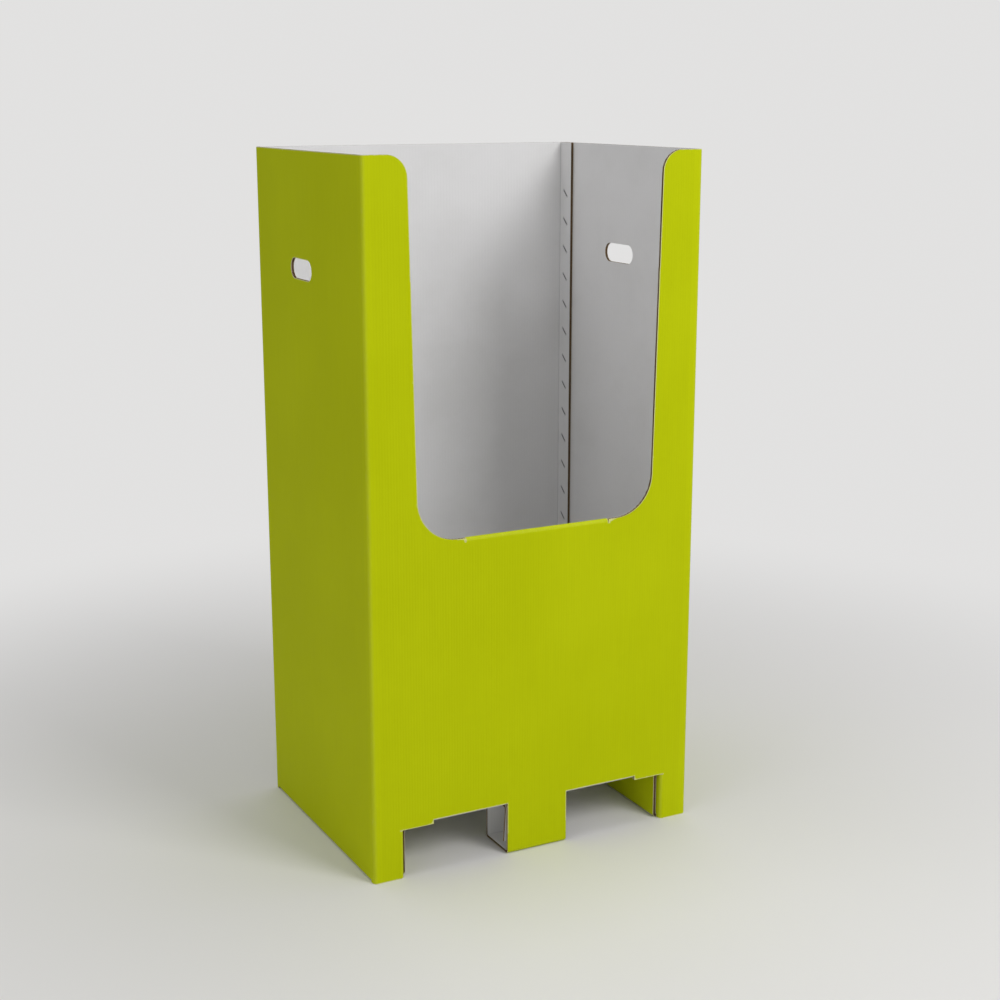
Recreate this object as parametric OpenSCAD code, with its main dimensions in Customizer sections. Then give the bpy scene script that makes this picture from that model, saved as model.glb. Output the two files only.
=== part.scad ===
/* [Overall size] */
// Width of the stand across the front
stand_w = 800; // [700:10:1200]
// Depth of the stand from front to back
stand_d = 600; // [500:10:900]
// Height of the stand from the floor to the rim
stand_h = 1540; // [1200:10:1900]

/* [Board] */
// Thickness of the double-wall board of the sleeve
board = 7; // [4:0.5:8]
// Outer radius of the sleeve's folds
fold_r = 8.5; // [8.5:0.5:15]
// Thickness of the deck's board
deck_board = 7; // [4:0.5:8]
// Outer radius of the deck's folds
deck_fold_r = 8.5; // [8.5:0.5:15]

/* [Front window] */
// Width of the window at the rim
window_rim_w = 602; // [480:2:660]
// Width of the window at the level of the sill
window_sill_w = 570; // [450:2:640]
// Height of the sill above the floor
sill_z = 745; // [400:5:1000]
// Radius of the window's lower corners
window_r = 92; // [30:2:150]
// Radius of the inner top corner of each upright
upright_r = 46; // [10:2:60]

/* [Feet and fork openings] */
// Width of each corner foot
corner_foot_w = 72; // [50:1:110]
// Width of the centre foot
centre_foot_w = 150; // [100:2:200]
// Depth of the centre foot, from the front face to the face of its back wall
centre_foot_d = 105; // [60:1:180]
// Gap between the lower end of the centre foot's tuck flap and the foot's floor
tuck_stop = 16; // [4:1:40]
// Lean of the tuck flap away from the front wall, in degrees
tuck_lean = 6; // [0:1:10]
// Height of the deck's underside above the floor
deck_z = 113; // [90:1:150]
// How far the fork opening's top stands above the deck's underside
opening_rise = 9; // [2:1:20]
// How far the outer part of the opening's top edge hangs below the rest
lip_drop = 10; // [3:1:16]
// Length of the flap that folds back from each corner foot
return_flap_l = 70; // [40:1:100]
// Distance from the front face to the raw end of each side rail
rail_setback = 15; // [15:1:30]

/* [Hand holes] */
// Length of each hand hole
hand_hole_l = 122; // [90:1:150]
// Height of each hand hole
hand_hole_h = 44; // [30:1:60]
// Height of the hand hole's centre above the floor
hand_hole_z = 1290; // [1000:5:1400]
// How far the hand hole's centre lies behind the middle of the side
hand_hole_back = 30; // [0:1:60]

/* [Stitched joint] */
// Width of the joint flap inside the right wall
joint_flap_w = 50; // [40:1:70]
// Height of the joint flap's lower end above the floor
joint_flap_z = 150; // [140:5:260]
// Distance from the rim to the first stitch
first_stitch = 122; // [60:1:200]
// Spacing of the stitches
stitch_pitch = 68; // [50:1:120]
// Length of a stitch's crown
stitch_l = 21; // [14:1:26]
// Slant of a stitch from the horizontal, in degrees
stitch_slant = 42; // [20:1:70]
// Width of the flat stitching wire
wire_w = 2.4; // [1.6:0.1:3]
// Thickness of the flat stitching wire
wire_t = 0.8; // [0.5:0.1:1.2]

/* [Deck tray] */
// Height of the deck's flanges, measured from its underside
flange_h = 85; // [40:1:150]
// Gap between neighbouring flanges and the deck's corner
flange_gap = 4; // [2:1:10]
// Gap between the deck's flanges and the walls beside them
tray_gap = 1; // [0.5:0.1:3]

/* [Hidden] */
$fn = 64;

// Seam between the joint flap and the right wall
joint_seam = 0.3;
// Room between a flap and the board that it tucks in beside, and width of a die cut
tuck_gap = 1;
// Room round a stitch in its slits
slit_gap = 0.15;
// Extra length of a cut past the faces that it goes through
overrun = 5;

// Planes of the outer faces
half_w = stand_w / 2;
half_d = stand_d / 2;

// The joint flap lies on the right wall's inner face, and the back wall ends in its fold
joint_face_x = half_w - board - joint_seam;
joint_inner_x = joint_face_x - board;
// The right wall's raw back end is flush with the back wall's inner face at the seam
right_wall_end_y = half_d - board - joint_seam;

// Heights of the fork openings
opening_z = deck_z + opening_rise;
lip_z = opening_z - lip_drop;
// The lip is as wide as the flap that was cut from below it
lip_w = return_flap_l + tuck_gap;
return_flap_top = lip_z - tuck_gap;
// A side rail's inner wall stands just inside the return flap's face
rail_w = corner_foot_w + tuck_gap + board;
rail_run = stand_d - 2 * rail_setback;
foot_edge_x = half_w - corner_foot_w;
foot_fold_x = foot_edge_x + fold_r;

// The centre foot's roll goes on over its top, under the deck, and down behind the front wall
top_fold_z = deck_z - fold_r;
tuck_fold_x = board + tuck_gap + fold_r;
tuck_end_z = board + tuck_stop;
tuck_flap_l = (top_fold_z - fold_r * sin(tuck_lean) - tuck_end_z) / cos(tuck_lean);

// Slant of the window's sides and the centres of its corner arcs
window_lean = atan((window_rim_w - window_sill_w) / 2 / (stand_h - sill_z));
window_r_x = window_sill_w / 2 + window_r * tan(window_lean) - window_r / cos(window_lean);
window_r_z = sill_z + window_r;
upright_r_z = stand_h - upright_r;
upright_r_x = window_edge_x(upright_r_z) + upright_r / cos(window_lean);

// Stitches down the joint flap, the last one clear of its lower end
stitch_y = half_d - board - joint_flap_w / 2;
stitch_depth = 2 * board + joint_seam;
stitch_rows = floor((stand_h - first_stitch - stitch_l - joint_flap_z) / stitch_pitch);
// Each clinched leg tip runs nearly to the middle of the stitch
clinch_l = (stitch_l - wire_t) / 2;

// Deck tray, as wide as the room beside the joint flap on one side
tray_half_w = joint_inner_x - tray_gap;
tray_half_d = half_d - board - tray_gap;

// Half the window's width at a height, along its straight side
function window_edge_x(z) = window_sill_w / 2 + (z - sill_z) * tan(window_lean);

// Quarter of a folded board in the first quadrant, about the fold's centre, which can turn
// a few degrees past the quarter
module fold_quarter(r, t, past = 0) {
    intersection() {
        difference() {
            circle(r);
            circle(r - t);
        }
        union() {
            square(r);
            rotate(past)
                square(r);
        }
    }
}

// Board that comes down, folds under and turns up again as a wall, seen along its folds.
// The outer face is at x = 0 and the floor at y = 0; the panel above starts at y = fold_r.
module rolled_foot(width, wall_top) {
    translate([fold_r, fold_r])
        rotate(180)
            fold_quarter(fold_r, board);
    translate([fold_r, 0])
        square([width - 2 * fold_r, board]);
    translate([width - fold_r, fold_r])
        rotate(-90)
            fold_quarter(fold_r, board);
    translate([width - board, fold_r])
        square([board, wall_top - fold_r]);
}

// Rest of the centre foot's roll: its top, which carries the deck, and a loose tuck flap that
// hangs behind the front wall and leans away from it
module tuck_roll(width) {
    translate([width - fold_r, top_fold_z])
        fold_quarter(fold_r, board);
    translate([tuck_fold_x, deck_z - board])
        square([width - fold_r - tuck_fold_x, board]);
    translate([tuck_fold_x, top_fold_z]) {
        rotate(90)
            fold_quarter(fold_r, board, tuck_lean);
        rotate(tuck_lean)
            translate([-fold_r, -tuck_flap_l])
                square([board, tuck_flap_l]);
    }
}

// The four walls in plan, with the joint left open at the back right corner
module wall_plan() {
    translate([fold_r - half_w, -half_d])
        square([stand_w - 2 * fold_r, board]);
    translate([-half_w, fold_r - half_d])
        square([board, stand_d - 2 * fold_r]);
    translate([half_w - board, fold_r - half_d])
        square([board, right_wall_end_y + half_d - fold_r]);
    translate([fold_r - half_w, half_d - board])
        square([half_w - fold_r + joint_face_x - fold_r, board]);
    translate([fold_r - half_w, fold_r - half_d])
        rotate(180)
            fold_quarter(fold_r, board);
    translate([half_w - fold_r, fold_r - half_d])
        rotate(-90)
            fold_quarter(fold_r, board);
    translate([fold_r - half_w, half_d - fold_r])
        rotate(90)
            fold_quarter(fold_r, board);
}

// Joint flap in plan: the back wall's end, folded forward along the right wall
module joint_flap_plan() {
    translate([joint_face_x - fold_r, half_d - fold_r])
        fold_quarter(fold_r, board);
    translate([joint_inner_x, half_d - board - joint_flap_w])
        square([board, joint_flap_w + board - fold_r]);
}

// Return flap in plan at the front right corner foot: a fold, then a flat run to the rear
module return_fold_plan(length) {
    translate([foot_fold_x, fold_r - half_d])
        rotate(180)
            fold_quarter(fold_r, board);
    translate([foot_edge_x, fold_r - half_d])
        square([board, length - fold_r]);
}

// Window seen from the front: slanting sides, round lower corners, rounded upright tops
module window_outline() {
    top_z = stand_h + overrun;
    side_x = window_r_x + window_r * cos(window_lean);
    side_z = window_r_z - window_r * sin(window_lean);
    polygon([
        [-window_r_x, sill_z], [window_r_x, sill_z],
        [side_x, side_z], [window_edge_x(top_z), top_z],
        [-window_edge_x(top_z), top_z], [-side_x, side_z]
    ]);
    for (side = [-1, 1]) {
        translate([side * window_r_x, window_r_z])
            circle(window_r);
    }
    for (side = [0, 1]) {
        mirror([side, 0])
            upright_corner();
    }
}

// Waste cut from the inner top corner of the right upright, up past the rim
module upright_corner() {
    top_z = stand_h + overrun;
    touch_x = upright_r_x - upright_r * cos(window_lean);
    touch_z = upright_r_z + upright_r * sin(window_lean);
    difference() {
        polygon([
            [touch_x, touch_z], [upright_r_x, upright_r_z],
            [upright_r_x, top_z], [window_edge_x(top_z), top_z]
        ]);
        translate([upright_r_x, upright_r_z])
            circle(upright_r);
    }
}

// One fork opening seen from the front, right of the centre foot, with its stepped top
module fork_opening_outline() {
    inner_x = centre_foot_w / 2;
    lip_x = foot_edge_x - lip_w;
    polygon([
        [inner_x, -overrun], [foot_fold_x, -overrun],
        [foot_fold_x, lip_z], [lip_x, lip_z],
        [lip_x, opening_z], [inner_x, opening_z]
    ]);
}

// Hand hole outline: a slot with round ends
module hand_hole_outline() {
    end_r = hand_hole_h / 2;
    reach = hand_hole_l / 2 - end_r;
    translate([-reach, -end_r])
        square([2 * reach, hand_hole_h]);
    for (end = [-1, 1]) {
        translate([end * reach, 0])
            circle(end_r);
    }
}

// An outline in the upright front plane, pushed back from y by a depth
module front_cut(y, depth) {
    translate([0, y + depth, 0])
        rotate([90, 0, 0])
            linear_extrude(depth)
                children();
}

// Places a child once for each corner foot, drawn at the front right one
module each_corner() {
    for (x = [0, 1], y = [0, 1]) {
        mirror([x, 0, 0])
            mirror([0, y, 0])
                children();
    }
}

// Places a child once for each side rail or hand hole side, drawn at the right
module each_side() {
    for (x = [0, 1]) {
        mirror([x, 0, 0])
            children();
    }
}

// Places a child at the front and again at the back, drawn at the front
module front_and_back() {
    for (y = [0, 1]) {
        mirror([0, y, 0])
            children();
    }
}

// Rolled rail under the right wall, from front to back
module side_rail() {
    translate([half_w, rail_run / 2, 0])
        rotate([90, 0, 0])
            linear_extrude(rail_run)
                mirror([1, 0])
                    rolled_foot(rail_w, deck_z);
}

// Rolled centre foot under the front wall, closed by its top and tuck flap
module centre_foot() {
    translate([-centre_foot_w / 2, -half_d, 0])
        rotate([90, 0, 90])
            linear_extrude(centre_foot_w) {
                rolled_foot(centre_foot_d, top_fold_z);
                tuck_roll(centre_foot_d);
            }
}

// Return flap of the front right corner foot, its rear part raised over the rail's floor
module return_flap() {
    linear_extrude(return_flap_top)
        return_fold_plan(rail_setback - tuck_gap);
    translate([0, 0, board + tuck_gap])
        linear_extrude(return_flap_top - board - tuck_gap)
            return_fold_plan(return_flap_l);
}

// Places a child at each stitch, with x out through the wall and y along the crown
module each_stitch() {
    for (row = [0 : stitch_rows]) {
        translate([joint_inner_x, stitch_y, stand_h - first_stitch - row * stitch_pitch])
            rotate([stitch_slant, 0, 0])
                children();
    }
}

// One stitch: a crown on the flap, two legs through both boards, tips clinched flush
module stitch() {
    translate([-wire_t, -stitch_l / 2, -wire_w / 2])
        cube([wire_t, stitch_l, wire_w]);
    for (end = [0, 1]) {
        mirror([0, end, 0]) {
            translate([-wire_t, stitch_l / 2 - wire_t, -wire_w / 2])
                cube([stitch_depth + wire_t, wire_t, wire_w]);
            translate([stitch_depth - wire_t, stitch_l / 2 - clinch_l, -wire_w / 2])
                cube([wire_t, clinch_l, wire_w]);
        }
    }
}

// Room cut for one stitch: two slits through the boards and a pressed groove outside
module stitch_room() {
    slit_w = wire_w + 2 * slit_gap;
    for (end = [0, 1]) {
        mirror([0, end, 0])
            translate([-overrun, stitch_l / 2 - wire_t - slit_gap, -slit_w / 2])
                cube([stitch_depth + overrun + overrun, wire_t + 2 * slit_gap, slit_w]);
    }
    translate([stitch_depth - wire_t - slit_gap, -stitch_l / 2, -slit_w / 2])
        cube([wire_t + slit_gap + overrun, stitch_l, slit_w]);
}

module display_sleeve() {
    color("yellowgreen")
        difference() {
            union() {
                sleeve_walls();
                translate([0, 0, joint_flap_z])
                    linear_extrude(stand_h - joint_flap_z)
                        joint_flap_plan();
                each_side()
                    side_rail();
                front_and_back()
                    centre_foot();
                each_corner()
                    return_flap();
            }
            each_stitch()
                stitch_room();
        }
}

// Upright walls with the window, fork openings and hand holes, cut off above the rolled feet
module sleeve_walls() {
    cut_depth = board + 2 * overrun;
    difference() {
        linear_extrude(stand_h)
            wall_plan();
        front_cut(-half_d - overrun, cut_depth)
            window_outline();
        each_corner()
            front_cut(-half_d - overrun, cut_depth)
                fork_opening_outline();
        translate([-half_w - overrun, hand_hole_back, hand_hole_z])
            rotate([90, 0, 90])
                linear_extrude(stand_w + 2 * overrun)
                    hand_hole_outline();
        each_side()
            translate([half_w - board - overrun, -rail_run / 2, -overrun])
                cube([board + 2 * overrun, rail_run, fold_r + overrun]);
        front_and_back()
            translate([-centre_foot_w / 2, -half_d - overrun, -overrun])
                cube([centre_foot_w, cut_depth, fold_r + overrun]);
    }
}

// One flange of the deck with its fold, run out along x, drawn at the front edge
module deck_flange(half_run, edge) {
    translate([-half_run, -edge, deck_z])
        rotate([90, 0, 90])
            linear_extrude(2 * half_run) {
                translate([deck_fold_r, deck_fold_r])
                    rotate(180)
                        fold_quarter(deck_fold_r, deck_board);
                translate([0, deck_fold_r])
                    square([deck_board, flange_h - deck_fold_r]);
            }
}

module deck_tray() {
    inset_w = tray_half_w - deck_fold_r;
    inset_d = tray_half_d - deck_fold_r;
    color("gainsboro") {
        translate([-inset_w, -inset_d, deck_z])
            cube([2 * inset_w, 2 * inset_d, deck_board]);
        front_and_back()
            deck_flange(inset_w - flange_gap, tray_half_d);
        for (turn = [-90, 90]) {
            rotate(turn)
                deck_flange(inset_d - flange_gap, tray_half_w);
        }
    }
}

module wire_stitches() {
    color("silver")
        each_stitch()
            stitch();
}

display_sleeve();
deck_tray();
wire_stitches();
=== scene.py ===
"""Dress a packed display stand as printed double-wall board.

The board is built as it is made: a printed liner, a white liner, a middle liner and two fluted
papers between them, which show open at every cut. Each layer is a surface over a grid of two
parameters, the distance along a folded path and the distance along a sweep. Sizes are in metres.
"""

from __future__ import annotations

import logging
import math
from dataclasses import dataclass
from enum import Enum, IntEnum
from functools import cached_property
from typing import Any, Callable, Mapping, Sequence

import bpy
import numpy as np
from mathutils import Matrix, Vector

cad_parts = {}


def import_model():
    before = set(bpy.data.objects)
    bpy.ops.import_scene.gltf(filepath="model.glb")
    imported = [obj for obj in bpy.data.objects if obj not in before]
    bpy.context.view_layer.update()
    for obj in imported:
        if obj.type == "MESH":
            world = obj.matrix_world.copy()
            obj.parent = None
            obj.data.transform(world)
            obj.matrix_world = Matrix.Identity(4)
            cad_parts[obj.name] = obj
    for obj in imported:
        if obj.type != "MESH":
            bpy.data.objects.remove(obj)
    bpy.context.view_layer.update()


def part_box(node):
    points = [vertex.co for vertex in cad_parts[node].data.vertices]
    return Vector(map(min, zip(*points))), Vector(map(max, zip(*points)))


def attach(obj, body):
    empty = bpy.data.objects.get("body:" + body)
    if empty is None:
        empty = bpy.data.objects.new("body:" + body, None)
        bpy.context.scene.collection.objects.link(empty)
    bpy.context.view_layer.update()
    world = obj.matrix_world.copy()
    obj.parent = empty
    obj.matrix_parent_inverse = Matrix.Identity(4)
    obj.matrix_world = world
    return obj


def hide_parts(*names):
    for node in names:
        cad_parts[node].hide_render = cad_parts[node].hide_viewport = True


LOG = logging.getLogger("display_stand")
BODY = "root"
UV_NAME = "board"
CUT_NAME = "cut"
FOLD_NAME = "fold"
QUARTER = math.pi / 2
SLACK = 1e-5
DECIMALS = 7

Array = np.ndarray
Material = bpy.types.Material
Vector3 = tuple[float, float, float]
Colour = tuple[float, float, float]
Span = tuple[float, float]
Weights = tuple[tuple[str, float], ...]

ORIGIN: Vector3 = (0, 0, 0)
ACROSS: Vector3 = (1, 0, 0)
DEEP: Vector3 = (0, 1, 0)
UP: Vector3 = (0, 0, 1)
BOTH_WAYS = np.array([-1.0, 1.0])


class FluteRun(Enum):
    """Which way the flutes of a ribbon run."""

    STANDING = "along the sweep, so that the waves follow the path"
    WRAPPED = "round the folds, so that the waves follow the sweep"


class Side(Enum):
    """Which side of a paper layer shows."""

    OUTER = 0
    INNER = 1
    NEITHER = 2


class Wall(IntEnum):
    """Place of each wall among the runs and folds of the walls' path."""

    RIGHT = 0
    FRONT = 2
    LEFT = 4
    BACK = 6


def smooth(share: Array) -> Array:
    """Share kept between 0 and 1 and eased at both ends: three squares less two cubes."""
    share = np.clip(share, 0.0, 1.0)
    return share * share * (3 - 2 * share)


def power_wave(wave: Array, power: float) -> Array:
    """A wave raised to a power, with its sign kept."""
    return np.sign(wave) * np.abs(wave) ** power


def half_chord(radius: float, away: Array) -> Array:
    """Half of a circle's chord at a distance from its centre, and none past its rim."""
    return np.sqrt(np.clip(radius**2 - away**2, 0.0, None))


def turned(heading: Array, ahead: Array | float, right: Array | float) -> Array:
    """Plane vectors that go ahead along a heading and aside to its right."""
    cosine, sine = np.cos(heading), np.sin(heading)
    return np.stack([ahead * cosine + right * sine, ahead * sine - right * cosine], axis=-1)


def grid(columns: Sequence[float], rows: Sequence[float]) -> tuple[Array, Array]:
    """Path distances and sweep distances of a grid, each as rows by columns."""
    across, along = np.meshgrid(np.asarray(columns, float), np.asarray(rows, float))
    return across, along


def middles(values: Array) -> Array:
    """Mean of the four corners of each cell of a grid."""
    return (values[:-1, :-1] + values[:-1, 1:] + values[1:, :-1] + values[1:, 1:]) / 4


def ladder(*stretches: Sequence[float]) -> Array:
    """All the given numbers once each, in rising order, close ones taken as one."""
    numbers = np.concatenate([np.asarray(part, float) for part in stretches])
    return np.unique(np.round(numbers, DECIMALS))


def meets(values: Array, place: float) -> Array:
    """Which values are as good as equal to a place."""
    return np.isclose(values, place, atol=SLACK)


def nearest(points: Array, marks: Array, block: int = 1500) -> Array:
    """Distance from each point to the nearest mark, block by block to spare memory.

    Args:
        points: Points with two numbers each.
        marks: Marks with two numbers each.
        block: How many points are compared at once.

    Returns:
        One distance for each point.
    """
    parts = np.array_split(points, max(1, len(points) // block))
    squares = [((part[:, None, :] - marks[None]) ** 2).sum(axis=-1).min(axis=1) for part in parts]
    return np.sqrt(np.concatenate(squares))


def placed(name: str, data: bpy.types.ID) -> bpy.types.Object:
    """Put data into the scene as a new object.

    Args:
        name: Name of the object.
        data: Mesh, light or camera that it shows.

    Returns:
        The object, at the origin.
    """
    item = bpy.data.objects.new(name, data)
    bpy.context.scene.collection.objects.link(item)
    return item


def finished(name: str, mesh: bpy.types.Mesh, sharp: float, *finishes: Material) -> bpy.types.Object:
    """Put a smooth mesh into the scene.

    Args:
        name: Name of the object.
        mesh: Mesh that it shows.
        sharp: Angle between faces above which an edge stays crisp.
        finishes: Materials, in the order of the mesh's slots.

    Returns:
        The object, at the origin.
    """
    for finish in finishes:
        mesh.materials.append(finish)
    mesh.shade_smooth()
    mesh.set_sharp_from_angle(angle=sharp)
    return placed(name, mesh)


@dataclass(frozen=True)
class Board:
    """Layers of the double-wall board, as depths below its printed face."""

    thickness: float = 0.007
    liner: float = 0.0006
    middle_depth: float = 0.0031
    middle_liner: float = 0.0004
    medium: float = 0.00028
    fine_pitch: float = 0.0064
    coarse_pitch: float = 0.0079
    fold_radius: float = 0.0085
    wave_steps: int = 6
    show_depth: float = 0.030
    crease: Span = (0.008, 0.020)

    @property
    def wave_step(self) -> float:
        """Distance between grid lines across the flutes."""
        return self.fine_pitch / self.wave_steps

    @property
    def lining_depth(self) -> float:
        """Depth of the hidden face of the inner liner."""
        return self.thickness - self.liner

    def standing(self, from_fold: Array) -> Array:
        """Share of the flutes' height that is left beside a fold, where a crease crushes them."""
        low, high = self.crease
        return smooth((from_fold - low) / (high - low))

    def flutes(self) -> tuple[Vector3, Vector3]:
        """Spaces that the two fluted papers fill.

        Returns:
            Upper depth, lower depth and pitch of the fine paper, then of the coarse one.
        """
        fine = (self.liner, self.middle_depth, self.fine_pitch)
        coarse = (self.middle_depth + self.middle_liner, self.lining_depth, self.coarse_pitch)
        return fine, coarse


@dataclass(frozen=True)
class FoldedPath:
    """Straight runs joined by quarter folds to the right, with the printed face on the left.

    Attributes:
        start: First point, in the path's own plane.
        heading: Direction of the first run, in radians.
        runs: Lengths of the straight runs.
        radius: Radius of the printed face at each fold.
    """

    start: Span
    heading: float
    runs: tuple[float, ...]
    radius: float

    def stretches(self) -> tuple[Array, Array]:
        """Runs and folds in turn, with runs at even places.

        Returns:
            Their starts along the path, and their lengths.
        """
        lengths = np.full(2 * len(self.runs) - 1, QUARTER * self.radius)
        lengths[0::2] = self.runs
        starts = np.concatenate([[0.0], np.cumsum(lengths)[:-1]])
        return starts, lengths

    @property
    def length(self) -> float:
        """Whole length of the path along its printed face."""
        starts, lengths = self.stretches()
        return float(starts[-1] + lengths[-1])

    def run_start(self, run: int) -> float:
        """Distance along the path at which a run begins."""
        return float(self.stretches()[0][2 * run])

    def stretch_of(self, s: Array) -> Array:
        """Index of the run or fold that holds each distance."""
        starts, _ = self.stretches()
        return np.clip(np.searchsorted(starts, s, side="right") - 1, 0, len(starts) - 1)

    def fold_columns(self, steps: int) -> Array:
        """Distances that divide every fold into equal steps.

        Args:
            steps: Number of steps in a fold.

        Returns:
            Distances along the path, with both ends of each fold.
        """
        starts, lengths = self.stretches()
        share = np.linspace(0.0, 1.0, steps + 1)
        return (starts[1::2, None] + lengths[1::2, None] * share).ravel()

    def from_fold(self, s: Array) -> Array:
        """Distance from each place to the middle of the nearest fold.

        Args:
            s: Distances along the path, of any shape.

        Returns:
            Distances of the same shape.
        """
        starts, lengths = self.stretches()
        folds = starts[1::2] + lengths[1::2] / 2
        return np.abs(np.asarray(s)[..., None] - folds).min(axis=-1)

    def at(self, s: Array) -> tuple[Array, Array]:
        """Point and outward normal at distances along the path.

        On a run the point moves along the heading. On a fold it follows a circle, so it goes
        sin(turn) radii along the heading and 1 - cos(turn) radii to the right.

        Args:
            s: Distances, of any shape.

        Returns:
            Points and normals, with two numbers each on a last axis.
        """
        starts, lengths = self.stretches()
        folds = np.arange(len(starts)) % 2 == 1
        headings = self.heading - QUARTER * np.concatenate([[0], np.cumsum(folds)[:-1]])
        ahead = np.where(folds, self.radius, lengths)
        steps = turned(headings, ahead, np.where(folds, self.radius, 0.0))
        corners = self.start + np.vstack([(0.0, 0.0), np.cumsum(steps, axis=0)[:-1]])
        index = self.stretch_of(s)
        local = s - starts[index]
        turn = np.where(folds[index], local / self.radius, 0.0)
        along = np.where(folds[index], self.radius * np.sin(turn), local)
        right = self.radius * (1.0 - np.cos(turn))
        heading = headings[index]
        point = corners[index] + turned(heading, along, right)
        return point, turned(heading - turn, 0.0, -1.0)


@dataclass(frozen=True)
class Placement:
    """How a path's plane and its sweep lie in the row frame.

    Attributes:
        origin: Row-frame point of the path plane's own origin.
        first: Row-frame direction of the path plane's first axis.
        second: Row-frame direction of the path plane's second axis.
        sweep: Row-frame direction of the sweep.
    """

    origin: Vector3
    first: Vector3
    second: Vector3
    sweep: Vector3

    def turn(self, flat: Array) -> Array:
        """Path-plane directions as row-frame directions."""
        return flat[..., :1] * np.asarray(self.first) + flat[..., 1:] * np.asarray(self.second)

    def put(self, flat: Array, v: Array) -> Array:
        """Path-plane points, moved along the sweep, as row-frame points."""
        return np.asarray(self.origin) + self.turn(flat) + v[..., None] * np.asarray(self.sweep)


@dataclass
class Ribbon:
    """A stretch of board over a grid of path distance and sweep distance.

    Attributes:
        path: Line that the printed face follows.
        place: Where that line and its sweep lie.
        s: Path distances, rows by columns.
        v: Sweep distances, rows by columns.
        keep: Cells that are board, one row and one column fewer, or None for all.
        run: Which way the flutes go.
        bow: Outward bulge at each grid point.
        joined_low: Columns whose first row goes on into another ribbon.
        joined_high: Columns whose last row goes on into another ribbon.
        uncut: Tells which grid points lie on a border that isn't a cut.
        bare: Cells whose outer face is left unprinted.
    """

    path: FoldedPath
    place: Placement
    s: Array
    v: Array
    keep: Array | None = None
    run: FluteRun = FluteRun.STANDING
    bow: Array | float = 0.0
    joined_low: Array | None = None
    joined_high: Array | None = None
    uncut: Callable[[Array, Array], Array] | None = None
    bare: Array | None = None

    def __post_init__(self) -> None:
        """Keep every cell, unless told which."""
        if self.keep is None:
            self.keep = np.ones(middles(self.s).shape, bool)

    def surface(self, depth: Array | float) -> Array:
        """Points of the printed face, moved along its normal by the bow less a depth.

        Args:
            depth: Depth below the printed face, one for all or one for each grid point.

        Returns:
            Points, as rows by columns by three.
        """
        flat, normal = self.path.at(self.s)
        lift = np.broadcast_to(self.bow - depth, self.s.shape)[..., None]
        return self.place.put(flat + lift * normal, self.v)

    def outward(self) -> Array:
        """Row-frame direction of the printed face at each grid point."""
        return self.place.turn(self.path.at(self.s)[1])

    def across(self) -> Array:
        """Distance across the flutes at each grid point."""
        return self.s if self.run is FluteRun.STANDING else self.v

    def along(self) -> Array:
        """Distance along the flutes at each grid point."""
        return self.v if self.run is FluteRun.STANDING else self.s


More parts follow.
